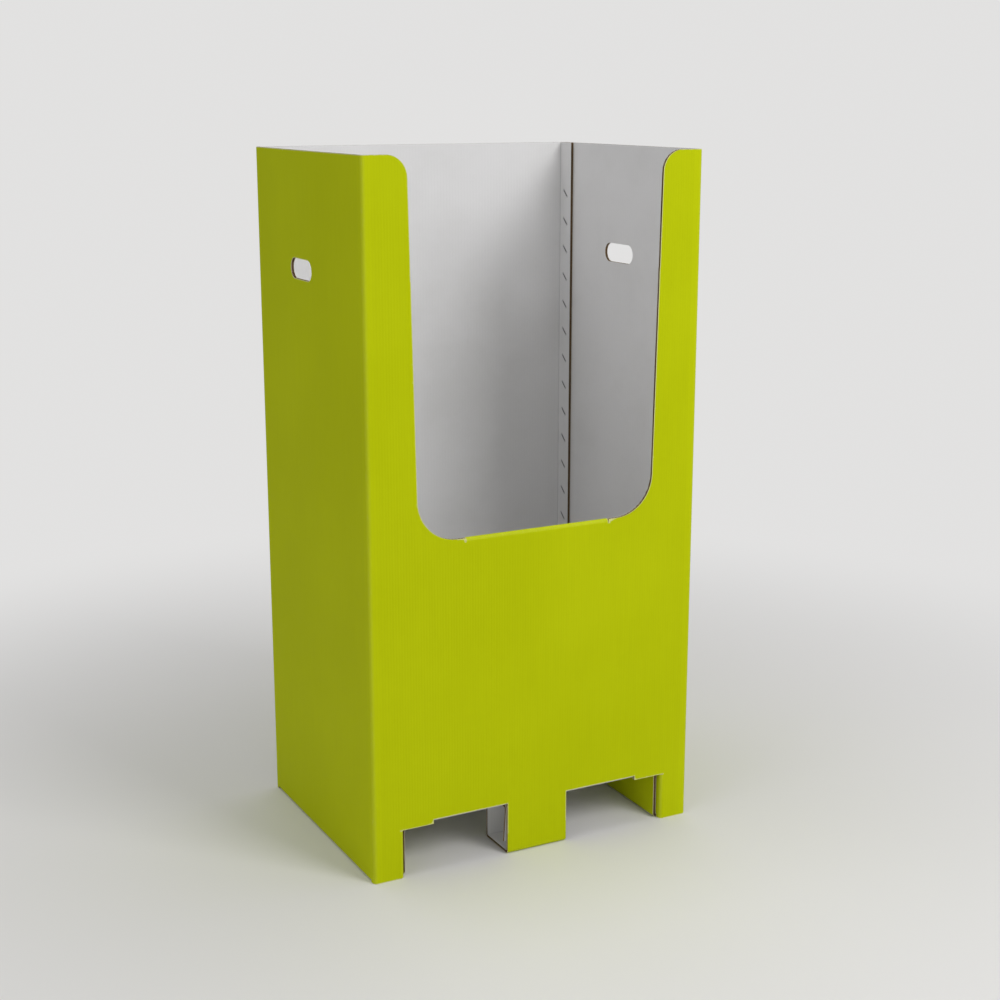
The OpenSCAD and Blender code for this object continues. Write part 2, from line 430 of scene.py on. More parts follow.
class MeshStock:
    """Quads gathered from the layers of several ribbons and put into one mesh.

    Points that fall in the same GRAIN are welded, and SPAN is more grains than a side has.
    """

    FACE, EDGE, BARE = 0, 1, 2
    GRAIN, SPAN = 2e-6, 2**20
    SHARP = math.radians(35.0)

    def __init__(self) -> None:
        """Start with no vertices and no faces."""
        self.parts: list[tuple[Array, ...]] = []
        self.count = 0

    def layer(self, ribbon: Ribbon, outer: Array | float, inner: Array | float, shown: Side) -> None:
        """Add one paper of a ribbon as a closed slab between two depths.

        Every kept cell gives a face on each side, and every border between a kept and a missing
        cell gives a narrow face across the paper's thickness.

        Args:
            ribbon: Grid that the paper covers.
            outer: Depth of its outer face.
            inner: Depth of its inner face.
            shown: Side that has the paper's own finish; the rest has the cut paper's.
        """
        size = ribbon.s.size
        index = np.arange(size).reshape(ribbon.s.shape)
        top, low = ribbon.surface(outer), ribbon.surface(inner)
        cells = np.stack([index[:-1, :-1], index[:-1, 1:], index[1:, 1:], index[1:, :-1]], axis=-1)
        cells = cells[ribbon.keep]
        borders, marks = self._borders(ribbon, index)
        quads = np.concatenate([cells, cells[:, ::-1] + size, borders])
        slots = np.full(len(quads), self.EDGE)
        if shown is not Side.NEITHER:
            first = shown.value * len(cells)
            slots[first : first + len(cells)] = self.FACE
        if shown is Side.OUTER and ribbon.bare is not None:
            slots[: len(cells)][ribbon.bare[ribbon.keep]] = self.BARE
        normal = np.cross(top[:-1, 1:] - top[:-1, :-1], top[1:, :-1] - top[:-1, :-1])
        if (normal * ribbon.outward()[:-1, :-1]).sum(axis=-1)[ribbon.keep].sum() < 0:
            quads = quads[:, ::-1]
        flat = np.stack([ribbon.s.ravel(), ribbon.v.ravel()], axis=-1)
        cut = np.zeros(size) if shown is Side.NEITHER else nearest(flat, flat[marks])
        uv = np.stack([ribbon.across().ravel(), ribbon.along().ravel()], axis=-1)
        fold = ribbon.path.from_fold(ribbon.s).ravel()
        points = np.concatenate([top.reshape(-1, 3), low.reshape(-1, 3)])
        doubled = [np.concatenate([values, values]) for values in (uv, cut, fold)]
        self.parts.append((points, quads + self.count, slots, *doubled))
        self.count += 2 * size

    @staticmethod
    def _borders(ribbon: Ribbon, index: Array) -> tuple[Array, Array]:
        """Narrow faces round a ribbon's kept cells, and the grid points on real cuts.

        Args:
            ribbon: Ribbon whose borders are wanted.
            index: Number of each grid point on the outer face.

        Returns:
            Quads across the paper's thickness, and indices of points on cut borders.
        """
        size = index.size
        padded = np.pad(ribbon.keep, 1)
        after_row, before_row = padded[1:, 1:-1].copy(), padded[:-1, 1:-1].copy()
        if ribbon.joined_low is not None:
            before_row[0] = ribbon.joined_low & after_row[0]
        if ribbon.joined_high is not None:
            after_row[-1] = ribbon.joined_high & before_row[-1]
        after_column, before_column = padded[1:-1, 1:], padded[1:-1, :-1]
        pairs = []
        for start, end, ahead, behind in (
            (index[:, :-1], index[:, 1:], after_row, before_row),
            (index[1:, :], index[:-1, :], after_column, before_column),
        ):
            opens, closes = ahead & ~behind, behind & ~ahead
            pairs.append(np.stack([start[opens], end[opens]], axis=-1))
            pairs.append(np.stack([end[closes], start[closes]], axis=-1))
        edges = np.concatenate(pairs)
        quads = np.stack([edges[:, 1], edges[:, 0], edges[:, 0] + size, edges[:, 1] + size], axis=-1)
        marks = np.unique(edges)
        if ribbon.uncut is not None:
            marks = marks[~ribbon.uncut(ribbon.s.ravel()[marks], ribbon.v.ravel()[marks])]
        return quads, marks

    def build(self, name: str, *finishes: Material) -> bpy.types.Object:
        """Weld the layers where they share points and put them into one object.

        Args:
            name: Name of the piece.
            finishes: Materials of the shown face, the cut paper and a bare outer face, or fewer.

        Returns:
            The new object, at the origin.
        """
        points, quads, slots, uvs, *marks = map(np.concatenate, zip(*self.parts))
        whole = np.round((points - points.min(axis=0)) / self.GRAIN).astype(np.int64)
        keys = (whole[:, 0] * self.SPAN + whole[:, 1]) * self.SPAN + whole[:, 2]
        _, first, back = np.unique(keys, return_index=True, return_inverse=True)
        quads = back[quads]
        used, packed = np.unique(quads, return_inverse=True)
        packed = packed.reshape(quads.shape)
        source = first[used]
        mesh = bpy.data.meshes.new(name)
        mesh.vertices.add(len(used))
        mesh.vertices.foreach_set("co", points[source].astype(np.float32).ravel())
        mesh.loops.add(packed.size)
        mesh.loops.foreach_set("vertex_index", packed.astype(np.int32).ravel())
        mesh.polygons.add(len(packed))
        mesh.polygons.foreach_set("loop_start", np.arange(0, packed.size, 4, dtype=np.int32))
        slots = np.minimum(slots, len(finishes) - 1)
        mesh.polygons.foreach_set("material_index", slots.astype(np.int32))
        mesh.update(calc_edges=True)
        uv = uvs[source][packed.ravel()]
        mesh.uv_layers.new(name=UV_NAME).data.foreach_set("uv", uv.astype(np.float32).ravel())
        for key, values in zip((CUT_NAME, FOLD_NAME), marks):
            data = mesh.attributes.new(key, "FLOAT", "POINT").data
            data.foreach_set("value", values[source].astype(np.float32))
        return finished(name, mesh, self.SHARP, *finishes)


def add_liners(
    ribbons: Sequence[Ribbon], board: Board, outer: MeshStock, inner: MeshStock, middle: MeshStock
) -> None:
    """Add the three flat papers of ribbons to their meshes.

    Args:
        ribbons: Stretches of board.
        board: Layers of the board.
        outer: Mesh of the outer liner.
        inner: Mesh of the inner liner.
        middle: Mesh of the middle liner.
    """
    depth = board.middle_depth
    for ribbon in ribbons:
        outer.layer(ribbon, 0.0, board.liner, Side.OUTER)
        inner.layer(ribbon, board.lining_depth, board.thickness, Side.INNER)
        middle.layer(ribbon, depth, depth + board.middle_liner, Side.NEITHER)


def add_flutes(ribbons: Sequence[Ribbon], board: Board, stock: MeshStock) -> None:
    """Add both fluted papers of ribbons: sine waves from liner to liner, flat in the folds.

    Args:
        ribbons: Stretches of board, with grids fine enough across the flutes for the waves.
        board: Layers of the board.
        stock: Mesh that gathers the papers.
    """
    half = board.medium / 2
    for ribbon in ribbons:
        standing = board.standing(ribbon.path.from_fold(ribbon.s))
        for upper, lower, pitch in board.flutes():
            reach = standing * (lower - upper - board.medium) / 2
            depth = (upper + lower) / 2 + reach * np.sin(2 * math.pi * ribbon.across() / pitch)
            stock.layer(ribbon, depth - half, depth + half, Side.NEITHER)


def math_method(operation: str) -> Callable[..., Signal]:
    """Method of a signal that puts it and any other values into a Math node."""
    return lambda signal, *others: signal.maths(operation, signal, *others)


class Signal:
    """One output socket of a material, so that shader maths reads as Python."""

    def __init__(self, shader: Shader, socket: bpy.types.NodeSocket) -> None:
        """Keep the socket and the shader that it belongs to."""
        self.shader = shader
        self.socket = socket

    def maths(self, operation: str, *values: Signal | float) -> Signal:
        """Math node of an operation on the given values."""
        return self.shader.node("ShaderNodeMath", {"operation": operation}, dict(enumerate(values)))

    __add__ = __radd__ = math_method("ADD")
    __sub__ = math_method("SUBTRACT")
    __mul__ = math_method("MULTIPLY")
    sine = math_method("SINE")
    root = math_method("SQRT")
    size = math_method("ABSOLUTE")
    least = math_method("MINIMUM")
    most = math_method("MAXIMUM")

    def near(self, pitch: float) -> Signal:
        """Distance to the nearest whole multiple of a pitch, with its sign."""
        return self.maths("WRAP", self, pitch / 2, -pitch / 2)

    def step(self, low: float, high: float) -> Signal:
        """Smooth rise between two values.

        Args:
            low: Value that gives 0.
            high: Value that gives 1, which may be below low.

        Returns:
            Result from 0 to 1.
        """
        ends = (low, high, 0.0, 1.0) if low < high else (high, low, 1.0, 0.0)
        sockets = dict(enumerate((self, *ends)))
        return self.shader.node("ShaderNodeMapRange", {"interpolation_type": "SMOOTHSTEP"}, sockets)


def weighted(base: float, weights: Weights, signals: Mapping[str, Signal]) -> Signal:
    """A base value plus each named signal times its weight."""
    return sum((signals[name] * weight for name, weight in weights), base)


@dataclass(frozen=True)
class Noise:
    """Soft noise over the board.

    Attributes:
        across: Bumps for each metre across the flutes.
        along: Bumps for each metre along the flutes.
        detail: Number of finer layers.
        rough: Strength of the finer layers.
    """

    across: float
    along: float
    detail: float = 2.0
    rough: float = 0.5


class Shader:
    """Nodes of one material, or of the world."""

    # Numbers of a colour mix's sockets, because their names also stand for other types.
    MIX_SHARE, MIX_LOW, MIX_HIGH, MIX_RESULT = 0, 6, 7, 2

    def __init__(self, owner: Material | bpy.types.World) -> None:
        """Start with no nodes.

        Args:
            owner: Material or world that the nodes are for.
        """
        owner.use_nodes = True
        self.owner = owner
        self.tree = owner.node_tree
        self.tree.nodes.clear()

    def node(
        self,
        kind: str,
        settings: Mapping[str, Any] | None = None,
        sockets: Mapping[int | str, Any] | None = None,
        output: int | str = 0,
    ) -> Signal:
        """Add a node of any kind.

        Args:
            kind: Blender's name of the node type.
            settings: Properties that are set first.
            sockets: Values or signals for its inputs.
            output: Output that the signal stands for.

        Returns:
            The chosen output.
        """
        made = self.tree.nodes.new(kind)
        for key, value in (settings or {}).items():
            setattr(made, key, value)
        for key, value in (sockets or {}).items():
            if isinstance(value, Signal):
                self.tree.links.new(value.socket, made.inputs[key])
            else:
                made.inputs[key].default_value = value
        return Signal(self, made.outputs[output])

    def parts(self, vector: Signal) -> tuple[Signal, Signal, Signal]:
        """Take a vector apart.

        Args:
            vector: Signal of three numbers.

        Returns:
            Its three numbers.
        """
        first = self.node("ShaderNodeSeparateXYZ", None, {0: vector})
        outputs = first.socket.node.outputs
        return first, Signal(self, outputs[1]), Signal(self, outputs[2])

    @cached_property
    def board_place(self) -> tuple[Signal, Signal]:
        """Distance across and along the flutes."""
        across, along, _ = self.parts(self.node("ShaderNodeUVMap", {"uv_map": UV_NAME}))
        return across, along

    def place(self) -> Signal:
        """Place on the object."""
        return self.node("ShaderNodeTexCoord", None, None, "Object")

    def camera_ray(self) -> Signal:
        """One where the camera itself looks, and 0 for light that bounces."""
        return self.node("ShaderNodeLightPath", None, None, "Is Camera Ray")

    def attribute(self, name: str) -> Signal:
        """Number that each vertex of the piece carries."""
        return self.node("ShaderNodeAttribute", {"attribute_name": name}, None, "Fac")

    def noise(self, where: Signal, scale: float, detail: float, rough: float) -> Signal:
        """Soft noise from 0 to 1, with scale in bumps for each metre."""
        sockets = {"Vector": where, "Scale": scale, "Detail": detail, "Roughness": rough}
        return self.node("ShaderNodeTexNoise", None, sockets)

    def board_noise(self, noise: Noise) -> Signal:
        """Soft noise over the board.

        Args:
            noise: Its bumps each way, detail and roughness.

        Returns:
            Noise from 0 to 1.
        """
        across, along = self.board_place
        where = self.vector(across * noise.across, along * noise.along)
        return self.noise(where, 1.0, noise.detail, noise.rough)

    def ribs(self, pitch: float) -> Signal:
        """Sine wave across the flutes."""
        return (self.board_place[0] * (2 * math.pi / pitch)).sine()

    def vector(self, x: Signal, y: Signal, z: Signal | float = 0.0) -> Signal:
        """Vector made of three values."""
        return self.node("ShaderNodeCombineXYZ", None, {0: x, 1: y, 2: z})

    @staticmethod
    def solid(colour: Signal | Colour) -> Signal | tuple[float, float, float, float]:
        """A signal as it is, or a colour with full alpha."""
        return colour if isinstance(colour, Signal) else (*colour, 1.0)

    def blend(
        self, share: Signal | float, low: Signal | Colour, high: Signal | Colour, kind: str = "MIX"
    ) -> Signal:
        """Mix two colours.

        Args:
            share: How much of the second colour counts.
            low: First colour.
            high: Second colour.
            kind: Blender's name of the way to mix.

        Returns:
            The mixed colour.
        """
        settings = {"data_type": "RGBA", "blend_type": kind}
        ends = {self.MIX_LOW: self.solid(low), self.MIX_HIGH: self.solid(high)}
        return self.node("ShaderNodeMix", settings, {self.MIX_SHARE: share, **ends}, self.MIX_RESULT)

    def shade(self, colour: Signal, amount: Signal) -> Signal:
        """Colour times a grey amount."""
        return self.blend(1.0, colour, self.vector(amount, amount, amount), "MULTIPLY")

    def coloured(self, kind: str, name: str, colour: Colour, **sockets: float) -> Signal:
        """Shader node of a kind, with a plain colour in the socket of that name."""
        return self.node(kind, None, {name: self.solid(colour), **sockets})

    def mixed(self, share: Signal, first: Signal, second: Signal) -> Signal:
        """Shader between two others."""
        return self.node("ShaderNodeMixShader", None, {0: share, 1: first, 2: second})

    def close(self, shader: Signal) -> None:
        """Link a finished shader to the output.

        Args:
            shader: Shader of the material or the world.
        """
        is_world = isinstance(self.owner, bpy.types.World)
        kind = "ShaderNodeOutputWorld" if is_world else "ShaderNodeOutputMaterial"
        output = self.tree.nodes.new(kind)
        self.tree.links.new(shader.socket, output.inputs["Surface"])

    def surface(self, sockets: Mapping[int | str, Any]) -> Material:
        """Finish a material with a Principled shader that has the given inputs."""
        self.close(self.node("ShaderNodeBsdfPrincipled", None, sockets))
        return self.owner

    def paper(
        self, colour: Signal, rough: Signal, shine: float, height: Signal, depth: float
    ) -> Material:
        """Finish a material as paper.

        Args:
            colour: Its colour.
            rough: Its roughness.
            shine: Its specular level.
            height: Height of its surface, as a number.
            depth: How high a height of one stands.

        Returns:
            The finished material.
        """
        normal = self.node("ShaderNodeBump", None, {"Height": height, "Distance": depth})
        return self.surface(
            {
                "Base Color": colour,
                "Roughness": rough,
                "Specular IOR Level": shine,
                "Normal": normal,
            }
        )


@dataclass(frozen=True)
class StitchRow:
    """Flat wire stitches that close the sheet: crowns inside, clinched tips outside.

    Attributes:
        half_w: Outer face of the stitched wall.
        height: Rim from which the row is measured.
        bend_power: Power of the path's superellipse, lower for tighter bends.
        wire_power: Power of the section's superellipse.
        press_reach: Distances from a wire at which the dent and its painted shade fade out and are
            full.
        press_inside: Distances inside the crowns at which the dent and its painted shade fade out and
            are full.
        row_fade: Share of the pitch over which the row's ends fade.
    """

    half_w: float
    height: float
    count: int = 19
    first: float = 0.122
    pitch: float = 0.068
    length: float = 0.021
    slant: float = math.radians(42.0)
    centre_y: float = 0.268
    inside_x: float = 0.3857
    wire_w: float = 0.0024
    wire_t: float = 0.0008
    proud: float = 0.0005
    tip_gap: float = 0.09
    path_steps: int = 72
    ring_steps: int = 12
    bend_power: float = 0.26
    wire_power: float = 0.5
    sharp: float = math.radians(50.0)
    press_reach: Span = (0.0045, 0.0006)
    press_inside: Span = (0.02, 0.01)
    row_fade: float = 0.125

    def heights(self) -> Array:
        """Height of each stitch's middle."""
        return self.height - self.first - self.pitch * np.arange(self.count)

    def build(self, finish: Material) -> bpy.types.Object:
        """Wires that follow a rounded rectangle through both boards.

        The path is a superellipse: the distance along the crown goes as a power of the cosine
        of an angle and the depth as the same power of its sine. The section is a flatter one,
        set across the path. The angle stops short of a full turn, which leaves the tips apart.

        Args:
            finish: Material of the wire.

        Returns:
            One object with all the stitches.
        """
        crown_x = self.inside_x - self.wire_t / 2
        clinch_x = self.half_w + self.proud - self.wire_t / 2
        half = (clinch_x - crown_x) / 2
        turn = np.linspace(self.tip_gap, 2 * math.pi - self.tip_gap, self.path_steps) - QUARTER
        along = (self.length - self.wire_t) / 2 * power_wave(np.cos(turn), self.bend_power)
        depth = (clinch_x + crown_x) / 2 - half * power_wave(np.sin(turn), self.bend_power)
        path = np.stack([depth, along], axis=-1)
        tangent = np.gradient(path, axis=0)
        tangent /= np.linalg.norm(tangent, axis=-1, keepdims=True)
        normal = np.stack([-tangent[:, 1], tangent[:, 0]], axis=-1)
        ring = np.linspace(0.0, 2 * math.pi, self.ring_steps, endpoint=False)
        thick = self.wire_t / 2 * power_wave(np.cos(ring), self.wire_power)
        wide = self.wire_w / 2 * power_wave(np.sin(ring), self.wire_power)
        flat = path[:, None, :] + thick[None, :, None] * normal[:, None, :]
        side = np.broadcast_to(wide, flat.shape[:2])
        cosine, sine = math.cos(self.slant), math.sin(self.slant)
        y = self.centre_y + flat[..., 1] * cosine - side * sine
        z = flat[..., 1] * sine + side * cosine
        wire = np.stack([flat[..., 0], y, z], axis=-1).reshape(-1, 3)
        points = wire[None] + self.heights()[:, None, None] * np.asarray(UP, float)
        index = np.arange(len(wire)).reshape(self.path_steps, self.ring_steps)
        wrapped = np.roll(index, -1, axis=1)
        quads = np.stack([index[:-1], wrapped[:-1], wrapped[1:], index[1:]], axis=-1).reshape(-1, 4)
        offsets = len(wire) * np.arange(self.count)
        faces = (quads[None] + offsets[:, None, None]).reshape(-1, 4).tolist()
        faces += (index[0, ::-1][None] + offsets[:, None]).tolist()
        faces += (index[-1][None] + offsets[:, None]).tolist()
        mesh = bpy.data.meshes.new("joint_stitches")
        mesh.from_pydata(points.reshape(-1, 3).tolist(), [], faces)
        return finished("joint_stitches", mesh, self.sharp, finish)

    def pressed(self, shader: Shader) -> Signal:
        """How strongly each place on the boards is dented by a stitch: a mask for the real dent's bump
        and for painted shade round the wire.

        Args:
            shader: Shader that the signal is for.

        Returns:
            One on the wires and fading to nothing a few millimetres away.
        """
        x, y, z = shader.parts(shader.place())
        aside = y - self.centre_y
        rise = (z - float(self.heights()[0])).near(self.pitch)
        cosine, sine = math.cos(self.slant), math.sin(self.slant)
        past = ((aside * cosine + rise * sine).size() - self.length / 2).most(0.0)
        gap = past.most((rise * cosine - aside * sine).size())
        reach = self.pitch * self.count / 2
        from_middle = (z - float(self.heights().mean())).size()
        row = from_middle.step(reach, reach - self.pitch * self.row_fade)
        wall = x.step(*(self.inside_x - inside for inside in self.press_inside))
        return gap.step(*self.press_reach) * row * wall


@dataclass(frozen=True)
class PrintedInk:
    """Lime ink on a coated liner, thin on the flute tips and worn at folds and cuts, with a painted
    highlight beside the folds and painted shade round the stitches.

    Spans called near give the distances from a fold or a cut at which wear begins and is full,
    and spans called over give the noise values between which a noise takes effect.
    """

    ink: Colour = (0.500, 0.568, 0.003)
    deep: Colour = (0.478, 0.544, 0.002)
    worn: Colour = (0.720, 0.715, 0.330)
    clouds: Noise = Noise(2.6, 2.6, 3.0)
    grain: Noise = Noise(950.0, 950.0, 2.0, 0.6)
    streaks: Noise = Noise(150.0, 6.0, 3.0)
    patches: Noise = Noise(85.0, 85.0, 4.0, 0.7)
    cracks: Noise = Noise(900.0, 45.0, 3.0)
    crease_near: Span = (0.009, 0.001)
    fold_band_near: Span = (0.024, 0.014)
    trim_near: Span = (0.0018, 0.0007)
    chip_near: Span = (0.005, 0.0)
    clouds_over: Span = (0.35, 0.7)
    cracks_over: Span = (0.58, 0.7)
    chips_over: Span = (0.56, 0.68)
    rubbed_over: Span = (0.70, 0.78)
    streaks_over: Span = (0.55, 0.7)
    trim_wear: Span = (0.55, 0.5)
    crease_wear: Span = (0.04, 0.14)
    chip_wear: float = 0.5
    rub_wear: float = 0.08
    brightness: float = 0.957
    tone: Weights = (
        ("ribs", 0.012),
        ("clouds", 0.02),
        ("streaks", 0.06),
        ("grain", 0.026),
        # The stitch mask darkens the print as painted shade round the wires; the relief gives the real
        # dent.
        ("pressed", -0.22),
        # Beside each fold the print is lighter: partly worn ink, partly painted highlight.
        ("fold_wear_and_highlight", 0.03),
    )
    relief: Weights = (
        ("ribs", 0.10),
        ("grain", 0.05),
        ("streaks", 0.05),
        ("pressed", -2.2),
        ("cracked", -0.5),
    )
    relief_depth: float = 0.0004
    roughness: float = 0.50
    dulling: Weights = (("clouds", 0.06), ("grain", 0.08), ("worn", 0.2))
    shine: float = 0.03

    def material(self, board: Board, stitches: StitchRow) -> Material:
        """Material of the printed face.

        Args:
            board: Board whose flutes show through.
            stitches: Stitches that press the face in.

        Returns:
            The material.
        """
        shader = Shader(bpy.data.materials.new("printed_ink"))
        clouds, streaks = shader.board_noise(self.clouds), shader.board_noise(self.streaks)
        patches, cracks = shader.board_noise(self.patches), shader.board_noise(self.cracks)
        fold, cut = shader.attribute(FOLD_NAME), shader.attribute(CUT_NAME)
        crease = fold.step(*self.crease_near)
        least, more = self.trim_wear
        trimmed = cut.step(*self.trim_near) * (patches * more + least)
        chipped = cut.step(*self.chip_near) * patches.step(*self.chips_over) * self.chip_wear
        least, more = self.crease_wear
        crease_wear_and_shade = crease * (cracks.step(*self.cracks_over) * more + least)
        rubbed = patches.step(*self.rubbed_over) * streaks.step(*self.streaks_over) * self.rub_wear
        worn = trimmed.most(chipped) + crease_wear_and_shade + rubbed
        signals = {
            "ribs": shader.ribs(board.fine_pitch),
            "clouds": clouds,
            "streaks": streaks,
            "grain": shader.board_noise(self.grain),
            "pressed": stitches.pressed(shader),
            "fold_wear_and_highlight": fold.step(*self.fold_band_near),
            "cracked": crease * cracks,
            "worn": worn,
        }
        colour = shader.blend(clouds.step(*self.clouds_over), self.deep, self.ink)
        colour = shader.shade(colour, weighted(self.brightness, self.tone, signals))
        colour = shader.blend(worn.least(1.0), colour, self.worn)
        rough = weighted(self.roughness, self.dulling, signals)
        height = weighted(0.0, self.relief, signals)
        return shader.paper(colour, rough, self.shine, height, self.relief_depth)


@dataclass(frozen=True)
class WhiteLining:
    """Bleached liner of the inside, with the flutes showing faintly, partly as painted shade, and
    painted shade at the folds and round the stitches.

    The span called near gives distances from a fold, and spans called over give noise values.
    """

    paper: Colour = (0.790, 0.785, 0.785)
    grey: Colour = (0.690, 0.685, 0.675)
    clouds: Noise = Noise(3.4, 3.4, 4.0, 0.6)
    fibres: Noise = Noise(420.0, 90.0, 4.0, 0.65)
    scuffs: Noise = Noise(30.0, 7.0, 5.0, 0.7)
    crease_near: Span = (0.009, 0.002)
    clouds_over: Span = (0.40, 0.75)
    scuffs_over: Span = (0.66, 0.8)
    greying: Weights = (("clouded", 0.5), ("scuffed", 0.4))
    brightness: float = 0.965
    # The stitch mask darkens the lining as painted shade round the wires; the relief gives the real
    # dent.
    tone: Weights = (("ribs", 0.006), ("fibres", 0.05), ("crease_wear_and_shade", -0.16), ("pressed", -0.42))
    relief: Weights = (("ribs", 0.07), ("fibres", 0.10), ("pressed", -2.2))
    relief_depth: float = 0.0004
    roughness: float = 0.62
    dulling: Weights = (("fibres", 0.12),)
    shine: float = 0.3

    def material(self, board: Board, stitches: StitchRow) -> Material:
        """Material of a white face.

        Args:
            board: Board whose flutes show through.
            stitches: Stitches that press the face in.

        Returns:
            The material.
        """
        shader = Shader(bpy.data.materials.new("white_lining"))
        signals = {
            # In the tone the ribs add faint painted shade along the flutes; in the relief they are the
            # real bump.
            "ribs": shader.ribs(board.coarse_pitch),
            "fibres": shader.board_noise(self.fibres),
            "clouded": shader.board_noise(self.clouds).step(*self.clouds_over),
            "scuffed": shader.board_noise(self.scuffs).step(*self.scuffs_over),
            # Near the folds the lining is darkened as painted shade in the inner creases.
            "crease_wear_and_shade": shader.attribute(FOLD_NAME).step(*self.crease_near),
            "pressed": stitches.pressed(shader),
        }
        colour = shader.blend(weighted(0.0, self.greying, signals), self.paper, self.grey)
        colour = shader.shade(colour, weighted(self.brightness, self.tone, signals))
        rough = weighted(self.roughness, self.dulling, signals)
        height = weighted(0.0, self.relief, signals)
        return shader.paper(colour, rough, self.shine, height, self.relief_depth)


@dataclass(frozen=True)
class CutPaper:
    """Bare paper: fluting, middle liners and the cut edges of the liners.

    Attributes:
        name: Name of the material.
        pale: Colour of its lighter fibres.
        dark: Colour of its darker fibres.
    """

    name: str
    pale: Colour
    dark: Colour
    fibres: Noise = Noise(1400.0, 260.0, 4.0, 0.7)
    clouds: Noise = Noise(25.0, 25.0, 3.0)
    fibres_over: Span = (0.3, 0.7)
    paling: Weights = (("fibrous", 0.7), ("clouds", 0.3))
    relief_depth: float = 0.0003
    roughness: float = 0.82
    dulling: Weights = (("clouds", 0.1),)
    shine: float = 0.2

    def material(self) -> Material:
        """Paper with fine fibres along the flutes.

        Returns:
            The material.
        """
        shader = Shader(bpy.data.materials.new(self.name))
        fibres = shader.board_noise(self.fibres)
        signals = {
            "fibrous": fibres.step(*self.fibres_over),
            "clouds": shader.board_noise(self.clouds),
        }
        colour = shader.blend(weighted(0.0, self.paling, signals), self.dark, self.pale)
        rough = weighted(self.roughness, self.dulling, signals)
        return shader.paper(colour, rough, self.shine, fibres, self.relief_depth)


LINER_EDGE = CutPaper("liner_edge", pale=(0.74, 0.69, 0.58), dark=(0.56, 0.48, 0.36))
# The core's kraft brown is darkened as painted shade of the open flutes at the cuts.
KRAFT_CORE_AND_SHADE = CutPaper("kraft_core_and_shade", pale=(0.25, 0.16, 0.088), dark=(0.125, 0.075, 0.038))


@dataclass(frozen=True)
class FlatWire:
    """Drawn steel of the stitches, darkened as painted shade and painted dark reflection, with dull
    spots of a scale, detail and roughness.
    """

    # Both colours are darker than bare steel: painted shade and painted dark reflection on the wire.
    shaded_steel: Colour = (0.20, 0.195, 0.19)
    dull: Colour = (0.10, 0.097, 0.094)
    spots: Vector3 = (700.0, 3.0, 0.6)
    spots_over: Span = (0.35, 0.7)
    roughness: float = 0.30
    spot_roughness: float = 0.2

    def material(self) -> Material:
        """Metal with dull, rougher spots.

        Returns:
            The material.
        """
        shader = Shader(bpy.data.materials.new("flat_wire"))
        spots = shader.noise(shader.place(), *self.spots)
        return shader.surface(
            {
                "Base Color": shader.blend(spots.step(*self.spots_over), self.shaded_steel, self.dull),
                "Roughness": spots * self.spot_roughness + self.roughness,
                "Metallic": 1.0,
            }
        )


@dataclass(frozen=True)
class Papers:
    """Materials of the board: printed face, white face, liners' cut edges and fluted core."""

    ink: Material
    white: Material
    edge: Material
    core: Material


